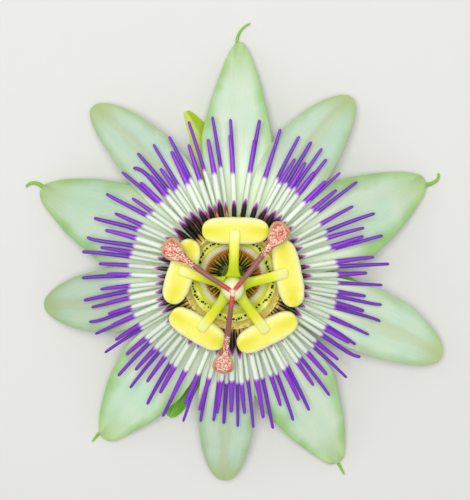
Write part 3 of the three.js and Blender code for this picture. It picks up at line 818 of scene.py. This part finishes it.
class StyleSettings(bpy.types.PropertyGroup):
    """The three styles and their stigmas."""

    junction: tint("Junction", "Pinkish white where the styles meet", "#fcd6c6")
    foot: tint("Foot", "Red near the junction", "#cc4c54")
    arm: tint("Arm", "Mauve brown of the arm", "#8e6054")
    neck: tint("Neck", "Red of the flanks and of the neck below the stigma", "#b4525c")
    red: tint("Red", "Dark pink between and on the papillae", "#cc5c58")
    papilla: tint("Papillae", "Pink of most papillae", "#f8a894")
    pale: tint("Pale", "Palest papillae", "#ffeccc")
    rim: tint("Rim", "Tan rim of the stigma", "#d6ae74")
    papillae: IntProperty(name="Papillae", description="Papillae on each stigma", default=220, min=10)
    bump: length("Papilla", "Width of one papilla", 0.36)


# ------------------------------------------------------------------ the organs
FLOOR_HALF = 1.5  # metres
# The lamps' names, shares of the key's strength, and widths and places in metres.
LAMPS = (("key_softbox", 1.0, 0.24, (-0.02, 0.11, 0.55)), ("side_softbox", 0.15, 0.6, (-0.40, 0.30, 0.40)))
EYE, EYE_TILT = Vector((0.4, 53.05, 309.84)) * MM, -9.0  # the camera, from the foot of the flower's axis


class PASSION_OT_stage(bpy.types.Operator):
    """Lay the pale floor and set up the soft studio light and the camera"""

    bl_idname = "passion.stage"
    bl_label = "Stage"

    def execute(self, context):
        s = context.scene.passion_stage
        mesh = bpy.data.meshes.new("studio_floor")
        corners = [AXIS + FLOOR_HALF * Vector((x, y, 0)) for x, y in ((-1, -1), (1, -1), (1, 1), (-1, 1))]
        mesh.from_pydata(corners, [], [(0, 1, 2, 3)])
        mesh.materials.append(plain_floor(s))
        floor = bpy.data.objects.new("studio_floor", mesh)
        context.scene.collection.objects.link(floor)

        world = bpy.data.worlds.new("studio_air")
        world.use_nodes = True
        background = world.node_tree.nodes["Background"]
        background.inputs["Color"].default_value = linear("#f4f6f8")
        background.inputs["Strength"].default_value = s.fill
        context.scene.world = world
        context.scene.view_settings.view_transform = "Standard"

        for name, share, size, spot in LAMPS:
            lamp = bpy.data.lights.new(name, "AREA")
            lamp.shape = "DISK"
            lamp.size = size
            lamp.energy = s.key * share
            box = bpy.data.objects.new(name, lamp)
            box.location = Vector(spot) + AXIS
            aim = AXIS + Vector((0.0, 0.0, 0.01)) - box.location
            box.rotation_euler = aim.to_track_quat("-Z", "Y").to_euler()
            context.scene.collection.objects.link(box)

        camera = bpy.data.cameras.new("camera_above")
        camera.lens = s.lens
        camera.clip_start = 0.01
        above = bpy.data.objects.new("camera_above", camera)
        above.location = AXIS + EYE
        above.rotation_euler = Euler((np.radians(EYE_TILT), 0.0, 0.0))
        context.scene.collection.objects.link(above)
        context.scene.camera = above
        return {"FINISHED"}


class PASSION_OT_stalk(bpy.types.Operator):
    """Grow the cut stub of the stalk and the three bracts it rests on"""

    bl_idname = "passion.stalk"
    bl_label = "Stalk and bracts"

    def execute(self, context):
        s = context.scene.passion_stalk
        top = STALK["top"] + 0.4
        height = np.concatenate([[0.0, 0.02, 0.1, 0.25], np.linspace(0.6, top, 18)])
        radius = STALK["radius"] + STALK["flare"] * between(top - 1.6, top, height)
        radius[:3] -= (0.35, 0.1, 0.02)  # the edge of the cut

        def ribs(angle):
            """Low ridges, a cosine round the stalk."""
            return 0.035 * np.cos(RIDGES * angle)

        grid = turned(np.stack([radius, height], axis=-1), 40, ribs=ribs)
        skin = fleshy_skin("stalk_green_skin", s.stalk, s.pith, 2.5, 0.45)
        Flesh().add(grid).grow("cut_stalk", [skin], "stalk", "stalk_stub")

        leaf_skin = green_bract(s)
        thick = s.thickness / MM
        low = thick / 2 + 0.1
        for i, leaf in enumerate(BRACTS):

            def middle(t):
                """Falls from the root by (1 - t / rest)^1.6 to the table, and rises again as a square."""
                falling = (BRACT_ROOT - low) * np.clip(1 - t / BRACT_REST, 0, 1) ** 1.6
                return low + falling + np.clip((t - BRACT_REST) / (1 - BRACT_REST), 0, 1) ** 2

            def lift(t, w):
                """The margins rise as |w|^1.5, most at half the length."""
                return 0.9 * np.abs(w) ** 1.5 * np.sin(np.pi * t)

            def relief(t, share, aside, side):
                """Slanting side veins where a cosine is near 1, a groove on the midrib, wavy margins."""
                vein = bell(np.cos((t - VEIN_SLANT * np.abs(share)) * VEIN_BEAT) - 1, 0.35)
                grooves = (0.07 * vein + 0.16 * bell(aside, 0.35)) * np.where(side > 0, 1, 0.4)
                waves = 0.25 * wavy(t, share, SEEDS["bract_waves"] + i, 9)
                return waves * between(0, 0.3, t) - grooves * between(1, 0.9, t)

            grid, place = blade(leaf, SEEDS["bract"] + i, BRACT_FOOT, middle, lift, relief, thick, 0.2)
            grid[..., 2] = np.maximum(grid[..., 2], 0.0)
            flesh = Flesh().add(grid, place, leaf["green"])
            flesh.grow(f"bract_leaf_{i + 1}", [leaf_skin], "bract", f"bract_{i + 1}")
        return {"FINISHED"}


class PASSION_OT_cup(bpy.types.Operator):
    """Grow the floral cup that carries everything else"""

    bl_idname = "passion.cup"
    bl_label = "Floral cup"

    def execute(self, context):
        s = context.scene.passion_cup
        u = np.linspace(0.02, 1, 16) * np.pi / 2
        wall, flange, throat, ledge = CUP["wall"], CUP["flange"], CUP["throat"], CUP["ledge"]
        floor, rim, collar = CUP["floor"], CUP["rim"], CUP["collar"]
        bowl = np.stack([wall * np.sin(u), CUP["base"] + CUP["bowl"] * (1 - np.cos(u))], axis=-1)
        corners = [
            bowl[-1], (wall, CUP["wall_top"]), (flange, CUP["wall_top"] + 0.05), (flange, rim), (throat, rim),
            (throat - 0.3, ledge), (CUP["ledge_inner"], ledge), (5.9, 7.9), (4.6, floor),
            (3.2, floor), (3.2, collar), (2.5, collar), (2.5, floor), (0.05, floor),
        ]
        profile = np.concatenate([bowl, rounded(corners, 0.35)[1:]])
        radius, height = profile.T[..., None]
        ribbed = 0.012 * between(4.0, 9.0, radius) * (height < CUP["ribs_below"])
        first = np.radians(SEPALS[0]["azimuth"])

        def ribs(angle):
            """A rib under each sepal and petal, a cosine round the cup."""
            return ribbed * np.cos(2 * RIDGES * (angle - first))

        grid = turned(profile, 120, ribs=ribs)
        skin = fleshy_skin("cup_green_flesh", s.skin, s.patch, 3.0, 0.45)
        Flesh().add(grid).grow("cup_wall", [skin], "cup", "floral_cup")
        return {"FINISHED"}


def awn(leaf, low):
    """A sepal's awn: it runs inside the keel to the blade's tip, leaves it beside the midrib and hooks over.

    Its heading is lean + hook * u^late, u being the share of the way past the tip, and its line is the sum of
    equal steps that way. Inside the keel it falls to just under `low`, the height of the blade's tip.
    """
    hidden = 4.0
    run = np.linspace(-hidden, leaf["awn"], 34)
    past = np.clip(run / leaf["awn"], 0, 1)
    heading = np.radians(leaf["lean"] * (run > 0) + leaf["hook"] * past ** leaf["late"])
    step = run[1] - run[0]
    out = leaf["reach"] + leaf["exit"][0] - hidden + step * np.cumsum(np.cos(heading))
    aside = leaf["exit"][1] + step * np.cumsum(np.sin(heading) * (run > 0))
    height = low - 0.15 - 0.35 * np.sin(np.pi * past) + 0.9 * np.clip(-run / hidden, 0, 1)
    size = leaf["stout"] * (1 - 0.5 * past ** 1.3) * domed(leaf["awn"] - run, 0.3)
    size *= 0.4 + 0.6 * between(-hidden, -0.5, run)
    return tubes(polar(leaf["tip"], out, aside, height)[None], size, size, 12)


class PASSION_OT_sepals(bpy.types.Operator):
    """Grow the five boat-shaped sepals, each with a keel behind that runs out into its awn"""

    bl_idname = "passion.sepals"
    bl_label = "Sepals"

    def execute(self, context):
        s = context.scene.passion_sepals
        skin = tepal_tissue("sepal_waxy_tissue", s, SEPAL_TISSUE, back=s.back)
        awn_skin = fleshy_skin("awn_green_skin", s.awn, s.awn_shade, 1.5, 0.4)
        middle = midrib(9.0, 0.5, 7.6)
        for i, leaf in enumerate(SEPALS):

            def lift(t, w):
                """The sides rise as w^2 t^1.3 into a boat, and close into a hood before the tip."""
                hood = 0.9 * between(0.86, 1.0, t) * (1 - between(0.97, 1.0, t))
                return 1.5 * w * w * t ** 1.3 + hood * np.minimum(np.abs(w) * 6, 1) ** 2

            def relief(t, share, aside, side):
                """A bell-shaped channel in the middle, a fold on either side, wavy margins, a keel."""
                channel = 0.26 * bell(aside, 1.3) * between(0.15, 0.5, t) * between(0.95, 0.7, t)
                folds = 0.10 * bell(np.abs(share) - 0.55, 0.14)
                waves = 0.28 * wavy(t, share, SEEDS["sepal_waves"] + i, 8)
                keel = s.keel / MM * bell(aside, 0.45) * between(0.1, 0.8, t) * between(1.0, 0.93, t)
                face = leaf["roll"] * aside * t - channel + (waves - folds) * np.sin(np.pi * t)
                return face - keel * np.maximum(-side, 0)

            seed = SEEDS["sepal"] + i
            grid, place = blade(leaf, seed, CUP["wall"] - 0.1, middle, lift, relief, s.thickness / MM, 0.26)
            flesh = Flesh().add(grid, place, leaf["light"]).add(awn(leaf, middle(1.0)), finish=1)
            flesh.grow(f"sepal_blade_{i + 1}", [skin, awn_skin], "sepal", f"sepal_{i + 1}")
        return {"FINISHED"}


class PASSION_OT_petals(bpy.types.Operator):
    """Grow the five thinner petals"""

    bl_idname = "passion.petals"
    bl_label = "Petals"

    def execute(self, context):
        s = context.scene.passion_petals
        skin = tepal_tissue("petal_satin_tissue", s, PETAL_TISSUE, rib=s.midrib)
        middle = midrib(10.2, 0.7, 5.0)
        for i, leaf in enumerate(PETALS):

            def lift(t, w):
                """The sides rise as w^2 t."""
                return 0.7 * w * w * t

            def relief(t, share, aside, side):
                """A bell-shaped groove in the middle between two ridges, and wavy margins."""
                groove = 0.16 * bell(aside, 0.6) * between(0.1, 0.4, t) * between(0.98, 0.75, t)
                ridges = 0.16 * bell(np.abs(aside) - 1.6, 0.9)
                waves = 0.4 * wavy(t, share, SEEDS["petal_waves"] + i, 9)
                return leaf["roll"] * aside * t - groove + (ridges + waves) * np.sin(np.pi * t)

            seed = SEEDS["petal"] + i
            grid, place = blade(leaf, seed, CUP["wall"] - 0.1, middle, lift, relief, s.thickness / MM, 0.2)
            flesh = Flesh().add(grid, place, leaf["light"])
            flesh.grow(f"petal_blade_{i + 1}", [skin], "petal", f"petal_{i + 1}")
        return {"FINISHED"}


class PASSION_OT_corona(bpy.types.Operator):
    """Grow the two outer rows of corona filaments, each fused at its foot in a ring"""

    bl_idname = "passion.corona"
    bl_label = "Corona"

    def row(self, s, row, name, skins, slot, node_name):
        """Filaments spread from the ring, each on its own way to its tip, with some sway and rise of its own.

        The azimuth changes evenly with the distance from the axis, by the filament's lean from BAND to the
        tip. A hooked tip turns aside by its hook times the seventh power of the share of the way past BAND.
        """
        draw = np.random.default_rng(row["seed"])
        azimuth, lean, reach = np.array(row["filaments"]).T[..., None]
        hook = np.array([row["hooks"].get(value, 0.0) for value in azimuth[:, 0]])[:, None]
        count = len(azimuth)
        sway, rise, stout, shade, early = draw.uniform(-1.0, 1.0, (5, count, 1))
        radius = row["start"] + (reach - row["start"]) * FILAMENT_RUN
        past = (radius - BAND) / (reach - BAND)
        arc = np.sin(np.pi * FILAMENT_RUN)
        azimuth = azimuth + lean * past + hook * np.clip(past, 0, 1) ** 7 + 0.45 * sway * arc * FILAMENT_RUN
        height = row["height"] + row["arch"] * arc + (0.6 * rise - row["drop"]) * FILAMENT_RUN ** 2
        girth = np.interp(FILAMENT_RUN, *row["girth"]) * (1 + row["vary"] * stout)
        half = s.thickness / MM / 2 * girth * domed(reach - radius, 0.4)
        grid = tubes(polar(azimuth, radius, 0.0, height), half, half, 8)
        angle = np.radians(azimuth)
        shift = row["band"] + row["north"] * np.clip(np.sin(angle), 0, 1) ** 2 + 0.35 * early
        place = spots_on(grid, (radius - shift)[..., None], *circle(8))
        # Painted light: the filaments are painted a little lighter towards the long awn and darker at either
        # side of it, on top of a random tone of their own.
        light = 0.5 + 0.25 * shade + 0.1 * np.sin(angle) - 0.15 * np.cos(2 * angle)

        def bead(angle, radius):
            """The ring swells at each filament, as a cosine."""
            return 0.08 * np.cos(count * angle)

        beads = turned(rounded(row["ring"], 0.3, closed=True), 4 * count, bead)
        flesh = Flesh().add(grid, place, light[..., None]).add(beads, finish=1, looped=True)
        flesh.grow(name, skins, slot, node_name)

    def execute(self, context):
        s = context.scene.passion_corona
        ring = fleshy_skin("corona_ring_flesh", s.ring, s.blush, 0.9, 0.5)
        long_stops = [(9.3, s.ring), (10.2, s.tan), (11.6, s.tan), (12.1, s.crimson), (13.0, s.crimson)]
        long_stops += [(13.5, s.mauve), (14.1, s.white), (20.45, s.white), (20.75, s.lavender)]
        long_stops += [(21.15, s.long_violet), (33.0, s.long_violet)]
        short_stops = [(9.1, s.ring), (10.0, s.tan), (11.1, s.black), (14.0, s.black), (14.6, s.maroon)]
        short_stops += [(15.1, s.purple), (15.45, s.mauve), (15.9, s.white), (20.45, s.white)]
        short_stops += [(20.75, s.lavender), (21.15, s.short_violet), (25.0, s.short_violet)]
        short_stops.append((28.0, s.violet_tip))
        long_skin = banded_filament("filament_long_flesh", long_stops, s.flank_shade_violet)
        short_skin = banded_filament("filament_short_flesh", short_stops, s.flank_shade_violet)
        self.row(s, LONG_ROW, "long_filaments", [long_skin, ring], "corona_lower", "corona_lower_row")
        self.row(s, SHORT_ROW, "short_filaments", [short_skin, ring], "corona_upper", "corona_upper_row")
        return {"FINISHED"}


def strewn(draw, count, shift, jitter):
    """Azimuths spread evenly round the axis from the share of a step, each a little off, as a column."""
    return (np.arange(count) + shift)[:, None] * FULL_TURN / count + draw.uniform(-jitter, jitter, (count, 1))


class PASSION_OT_crown(bpy.types.Operator):
    """Grow the inner row of knobbed threads and the fringed lid over the nectar"""

    bl_idname = "passion.crown"
    bl_label = "Threads and lid"

    def execute(self, context):
        s = context.scene.passion_crown
        draw = np.random.default_rng(SEEDS["threads"])
        count = s.threads
        azimuth = strewn(draw, count, 0.0, 1.9)
        t, girth = THREAD_RUN[:, None]
        lobes = np.cos(RIDGES * np.radians(azimuth - THREAD["lobe_at"]))
        knob = THREAD["line"] + THREAD["lobe"] * lobes + draw.uniform(-0.16, 0.16, (count, 1))
        foot = np.clip(knob + 0.1, *THREAD["feet"])
        height = THREAD["low"] + draw.uniform(*THREAD["tall"], (count, 1)) * t
        half = girth * draw.uniform(0.65, 1.15, (count, 1))
        grid = tubes(polar(azimuth, foot + (knob - foot) * t, 0.0, height), half, half, 6)
        stops = ((0.0, s.stem), (0.4, s.stem), (0.55, s.knob), (1.0, s.knob))
        thread = ramp_skin("knobbed_thread", stops, 0.4)
        bed = fleshy_skin("thread_ring_flesh", s.bed, s.membrane_rim, 1.0, 0.5)
        flesh = Flesh().add(grid, spots_on(grid, t[..., None]), draw.uniform(0, 1, (count, 1, 1)))
        flesh.add(turned(rounded(THREAD_BED, 0.2, closed=True), 120), finish=1, looped=True)
        flesh.grow("knobbed_threads", [thread, bed], "corona_inner", "corona_inner_row")

        count = s.fringe
        lid = rounded(LID, 0.2, closed=True)

        def pleat(angle, radius):
            """Pleats as a cosine round the lid, deeper at its edge and fading towards its foot."""
            return (0.03 + 0.08 * (radius < 5.7)) * np.cos(2 * count * angle) * np.clip(7.3 - radius, 0, 1)

        grid = turned(lid, 8 * count, pleat)
        stops = [(4.8, s.rust), (5.4, s.rust), (5.95, s.membrane), (6.5, s.membrane)]
        stops += [(6.8, s.membrane_rim), (7.6, s.membrane_rim)]
        membrane = ramp_skin("lid_membrane", stops, 0.55, vary=0.3)
        # The colours, and with them the yellowish rim, lie further out on the side of the long awn. The
        # pleats' valleys are painted darker towards the lid's edge and their crests lighter, as painted shade
        # and light in the folds.
        angle = around(8 * count)
        place = lid[:, :1] - 0.45 * np.sin(angle)
        pleat_shade = 0.5 + 0.7 * np.cos(2 * count * angle) * between(6.0, 5.6, place)
        flesh = Flesh().add(grid, spots_on(grid, place), pleat_shade, looped=True)
        t = np.linspace(0, 1, 7)[None]
        for row in FRINGE_ROWS:
            azimuth = strewn(draw, count, row["shift"], 1.8)
            ends = row["tips"] + draw.uniform(-0.2, 0.5, (count, 1))
            radius = FRINGE["root"] + (ends - FRINGE["root"]) * t
            height = FRINGE["height"] - row["low"] - (FRINGE["fall"] - row["low"]) * t ** 1.3
            half = row["half"] * (1 - 0.25 * t) * draw.uniform(0.85, 1.2, (count, 1))
            grid = tubes(polar(azimuth, radius, 0.0, height), half, half, 6)
            tone = draw.uniform(0, 1, (count, 1, 1))
            flesh.add(grid, spots_on(grid, radius[..., None]), tone, row["finish"])
        # Blackish green inner ends: partly the threads' own colour, partly painted shade of the chamber
        # below.
        stops = ((2.4, s.dark), (4.2, s.dark), (4.8, s.umber), (5.3, s.rust), (6.2, s.rust))
        fringe = ramp_skin("lid_fringe_dark", stops, 0.45)
        stops = ((2.4, s.dark), (2.9, s.dark), (3.5, s.straw), (5.2, s.straw), (6.2, s.rust))
        straw = ramp_skin("lid_fringe_straw", stops, 0.5)
        flesh.grow("nectar_lid", [membrane, fringe, straw], "operculum", "operculum")
        return {"FINISHED"}


def anther(long, wide, deep, copy):
    """A long pad of two sacs: its length is along y, from its middle, with rings of x (outwards) and z (up).

    v runs from -1 to 1 along it, and its half width is (1 - |v|^3.4)^(1/2.6) of the full one. The section is
    (1 - |x|^4)^0.45 high, less a broad channel along the top, and beneath it a furrow between the sacs and
    the slit along each sac.
    """
    run = np.sin(np.linspace(-0.985, 0.985, 64) * np.pi / 2)
    v, angle = np.meshgrid(run, around(48), indexing="ij")
    share, side = np.sin(angle), np.cos(angle)
    full = (1 - np.abs(v) ** 3.4) ** (1 / 2.6)
    uneven = 1 + 0.014 * wander(v + 0.6 * np.sign(share), SEEDS["anther"] + copy, 9)
    section = np.clip(1 - share ** 4, 0, 1) ** 0.45 * np.sign(side)
    channel = 0.07 * bell(share, 0.45)
    cuts = 0.3 * bell(share, 0.16) + 0.16 * bell(np.abs(share) - 0.55, 0.08)
    carved = np.where(side > 0, channel, cuts) * between(1.0, 0.7, np.abs(v))
    skin = 1 + 0.02 * wander(v, SEEDS["anther_skin"] + copy, 11)
    z = deep * (0.45 + 0.55 * full) * section * (skin - carved)
    grid = np.stack([wide * full * share * uneven, long * v, z], axis=-1)
    return grid[None], np.stack([v, share, side], axis=-1)[None]


class PASSION_OT_stamens(bpy.types.Operator):
    """Grow the column with its five stamen filaments and the anthers hung beneath their ends"""

    bl_idname = "passion.stamens"
    bl_label = "Column and stamens"

    def execute(self, context):
        s = context.scene.passion_stamens
        foot, top, head, waist = CUP["floor"], COLUMN["top"], COLUMN["head"], COLUMN["waist"]
        profile = [
            (0.05, foot), (COLUMN["foot"] + 0.1, foot), (COLUMN["foot"], foot + 1.2), (waist, foot + 4.8),
            (waist, top - 3.2), (head - 0.3, top - 1.2), (head, top - 0.6), (head - 0.1, top), (0.05, top),
        ]

        def ribs(angle):
            """Low ridges up to the filaments, a cosine round the column."""
            return 0.03 * np.cos(RIDGES * (angle - np.pi / 2))

        grid = turned(rounded(profile, 0.9, 6), 48, ribs=ribs)
        column_skin = fleshy_skin("column_green_flesh", s.green, s.yellow_green, 2.2, 0.4)
        Flesh().add(grid).grow("column_flesh", [column_skin], "column", "androgynophore")

        stops = [(1.5, s.green), (3.0, s.green), (5.8, s.yellow_green), (7.9, s.yellow)]
        stops += [(9.6, s.cream), (12.0, s.cream)]
        strap_skin, sac_skin = ramp_skin("stamen_strap_flesh", stops, 0.4, 0.7), pollen_sac(s)
        t = np.linspace(0, 1, 34)
        for i, stamen in enumerate(STAMENS):
            radius = STRAP["from"] + (stamen["reach"] - STRAP["from"]) * t
            height = STRAP["height"] + STRAP["arch"] * np.sin(np.pi * t) - STRAP["drop"] * t * t
            end = domed(stamen["reach"] - radius, 0.5)
            flare = (STRAP["foot"] - STRAP["half"]) * (1 - t) ** 10
            half = (STRAP["half"] * (0.9 + 0.14 * t) + flare) * end
            thick = STRAP["thick"] * (1.1 - 0.35 * t) * end
            grid = tubes(polar(stamen["azimuth"], radius, 0.0, height)[None], half, thick, 24, flat=0.8)
            flesh = Flesh().add(grid, spots_on(grid, radius[:, None]))
            flesh.grow(f"stamen_strap_{i + 1}", [strap_skin], "column", f"stamen_filament_{i + 1}")

        wide, deep = s.anther_width / MM / 2, s.anther_depth / MM / 2
        for i, stamen in enumerate(STAMENS):
            pad, place = anther(stamen["length"] / 2, wide, deep, i)
            swing = np.radians(stamen["swing"])
            x, y, z = np.moveaxis(pad, -1, 0)
            out = stamen["out"] + x * np.cos(swing) - y * np.sin(swing)
            aside = stamen["slide"] + x * np.sin(swing) + y * np.cos(swing)
            middle = extent(f"anther_{i + 1}")[:, 2].mean()
            flesh = Flesh().add(polar(stamen["azimuth"], out, aside, z + middle), place)
            flesh.grow(f"anther_sac_{i + 1}", [sac_skin], "anther", f"anther_{i + 1}")
        return {"FINISHED"}


class PASSION_OT_ovary(bpy.types.Operator):
    """Grow the ovary"""

    bl_idname = "passion.ovary"
    bl_label = "Ovary"

    def execute(self, context):
        s = context.scene.passion_ovary
        latitude = np.linspace(0.02, 0.98, 36) * np.pi
        middle, half = (OVARY_HIGH[2] + OVARY_LOW[2]) / 2, (OVARY_HIGH[2] - OVARY_LOW[2]) / 2
        radius, height = OVARY_HIGH[0] * np.sin(latitude) ** 0.92, middle - half * np.cos(latitude)
        profile = np.stack([radius, height], axis=-1)
        first = np.radians(STYLES[0]["azimuth"])

        def seams(angle):
            """Three narrow seams between the ovary's lobes, the twelfth power of a sine."""
            return -0.025 * np.abs(np.sin(len(STYLES) / 2 * (angle - first))) ** 12

        grid = turned(profile, 60, ribs=seams)
        skin = fleshy_skin("ovary_bloomed_skin", s.ovary, s.bloom, 1.3, 0.45, 0.02, 0.25)
        Flesh().add(grid).grow("ovary_globe", [skin], "ovary", "ovary")
        return {"FINISHED"}


def on_style(style, along, cosine, sine):
    """Points on a style's skin `along` millimetres from the axis, at the angle with that cosine and sine.

    Its line rises by rise * sin(pi u) and falls by drop * u^2.2, u being the share of the way. The half width
    grows from the stem's to the head's between 5.6 and 1.8 mm from the end, and closes in a quarter circle.
    """
    left = style["reach"] - along
    line = midrib(OVARY_HIGH[2] + STYLE["above"], STYLE["rise"], STYLE["drop"])
    before, here, after = (
        line(np.clip((where - STYLE["from"]) / (style["reach"] - STYLE["from"]), 0, 1))
        for where in (along - 0.05, along, along + 0.05)
    )
    thinner = (STYLE["radius"] - STYLE["foot"]) * np.clip(left / style["reach"], 0, 1) ** 2
    stem = STYLE["radius"] - thinner
    half = (stem + (STYLE["head"] - stem) * between(5.6, 1.8, left)) * domed(left, 1.35)
    deep = (stem * 0.92 + (STYLE["depth"] - stem) * between(4.6, 1.6, left)) * domed(left, 1.2) * sine
    slope = np.arctan2(after - before, 0.1)
    return polar(style["azimuth"], along - deep * np.sin(slope), half * cosine, here + deep * np.cos(slope))


class PASSION_OT_styles(bpy.types.Operator):
    """Grow the three arching styles with their papillose stigmas"""

    bl_idname = "passion.styles"
    bl_label = "Styles"

    def execute(self, context):
        s = context.scene.passion_styles
        arm_skin, bump_skin = style_skin(s), papilla_skin(s)
        golden = np.pi * (3 - np.sqrt(5))
        cosine, sine = circle(28)
        for i, style in enumerate(STYLES):
            end = style["reach"]
            # The rings get closer over the head.
            along = [np.linspace(-0.15, end - 6, 40), end - 6 * np.linspace(1, 0, 44)[1:] ** 1.6]
            along = np.concatenate(along)[:, None]
            grid = on_style(style, along, cosine, sine)[None]
            left = end - along
            lip = np.maximum(between(0.72, 0.84, np.abs(cosine)), between(1.15, 0.85, left))
            rim = between(4.6, 3.6, left) * np.maximum(lip, between(0.0, -0.3, sine))
            flesh = Flesh().add(grid, spots_on(grid, along, cosine, sine), rim)

            # Papillae crowd on the head within its rim, like seeds in a sunflower, and thin out below.
            draw = np.random.default_rng(SEEDS["papillae"] + i)
            number = np.arange(s.papillae)
            spread, turn = np.sqrt((number + 0.5) / s.papillae), golden * number
            few = s.papillae * 2 // 5
            edge = end - CROWD["strewn"]
            crowded = end - CROWD["middle"] + CROWD["along"] * spread * np.cos(turn)
            sparse = edge - (edge - CROWD["until"]) * draw.uniform(0, 1, few) ** 1.4
            where = np.concatenate([crowded, sparse]) + draw.uniform(-0.06, 0.06, s.papillae + few)
            across = np.concatenate([CROWD["across"] * spread * np.sin(turn), draw.uniform(-0.85, 0.85, few)])
            wide = s.bump / MM / 2 * draw.uniform(0.7, 1.2, len(where)) * np.where(where < edge, 0.75, 1.0)
            bumps = balls(on_style(style, where, across, np.sqrt(1 - across ** 2)), wide, 3, 6)
            flesh.add(bumps, tone=draw.uniform(0, 1, (len(where), 1, 1)), finish=1)
            flesh.grow(f"style_arm_{i + 1}", [arm_skin, bump_skin], "style", f"style_{i + 1}")
        return {"FINISHED"}


class PASSION_PT_panel(bpy.types.Panel):
    """Lists the organs in the order in which they grow"""

    bl_idname = "PASSION_PT_panel"
    bl_label = "Passion flower"
    bl_space_type = "VIEW_3D"
    bl_region_type = "UI"
    bl_category = "Passion flower"

    def draw(self, context):
        for operator, settings in ORGANS:
            box = self.layout.box()
            box.operator(operator.bl_idname)
            for key in settings.__annotations__:
                box.prop(getattr(context.scene, settings_name(operator)), key)


ORGANS = (
    (PASSION_OT_stage, StageSettings),
    (PASSION_OT_stalk, StalkSettings),
    (PASSION_OT_cup, CupSettings),
    (PASSION_OT_sepals, SepalSettings),
    (PASSION_OT_petals, PetalSettings),
    (PASSION_OT_corona, CoronaSettings),
    (PASSION_OT_crown, CrownSettings),
    (PASSION_OT_stamens, StamenSettings),
    (PASSION_OT_ovary, OvarySettings),
    (PASSION_OT_styles, StyleSettings),
)


def settings_name(operator):
    """The scene keeps an operator's settings under the operator's own name."""
    return operator.bl_idname.replace(".", "_")


def register():
    for operator, settings in ORGANS:
        bpy.utils.register_class(settings)
        setattr(bpy.types.Scene, settings_name(operator), PointerProperty(type=settings))
        bpy.utils.register_class(operator)
    bpy.utils.register_class(PASSION_PT_panel)


def unregister():
    bpy.utils.unregister_class(PASSION_PT_panel)
    for operator, settings in reversed(ORGANS):
        bpy.utils.unregister_class(operator)
        delattr(bpy.types.Scene, settings_name(operator))
        bpy.utils.unregister_class(settings)


def main():
    """Registers the add-on and grows every organ in order."""
    register()
    for operator, _ in ORGANS:
        getattr(bpy.ops.passion, operator.bl_idname.split(".")[1])()
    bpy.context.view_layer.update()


if __name__ == "__main__":
    main()
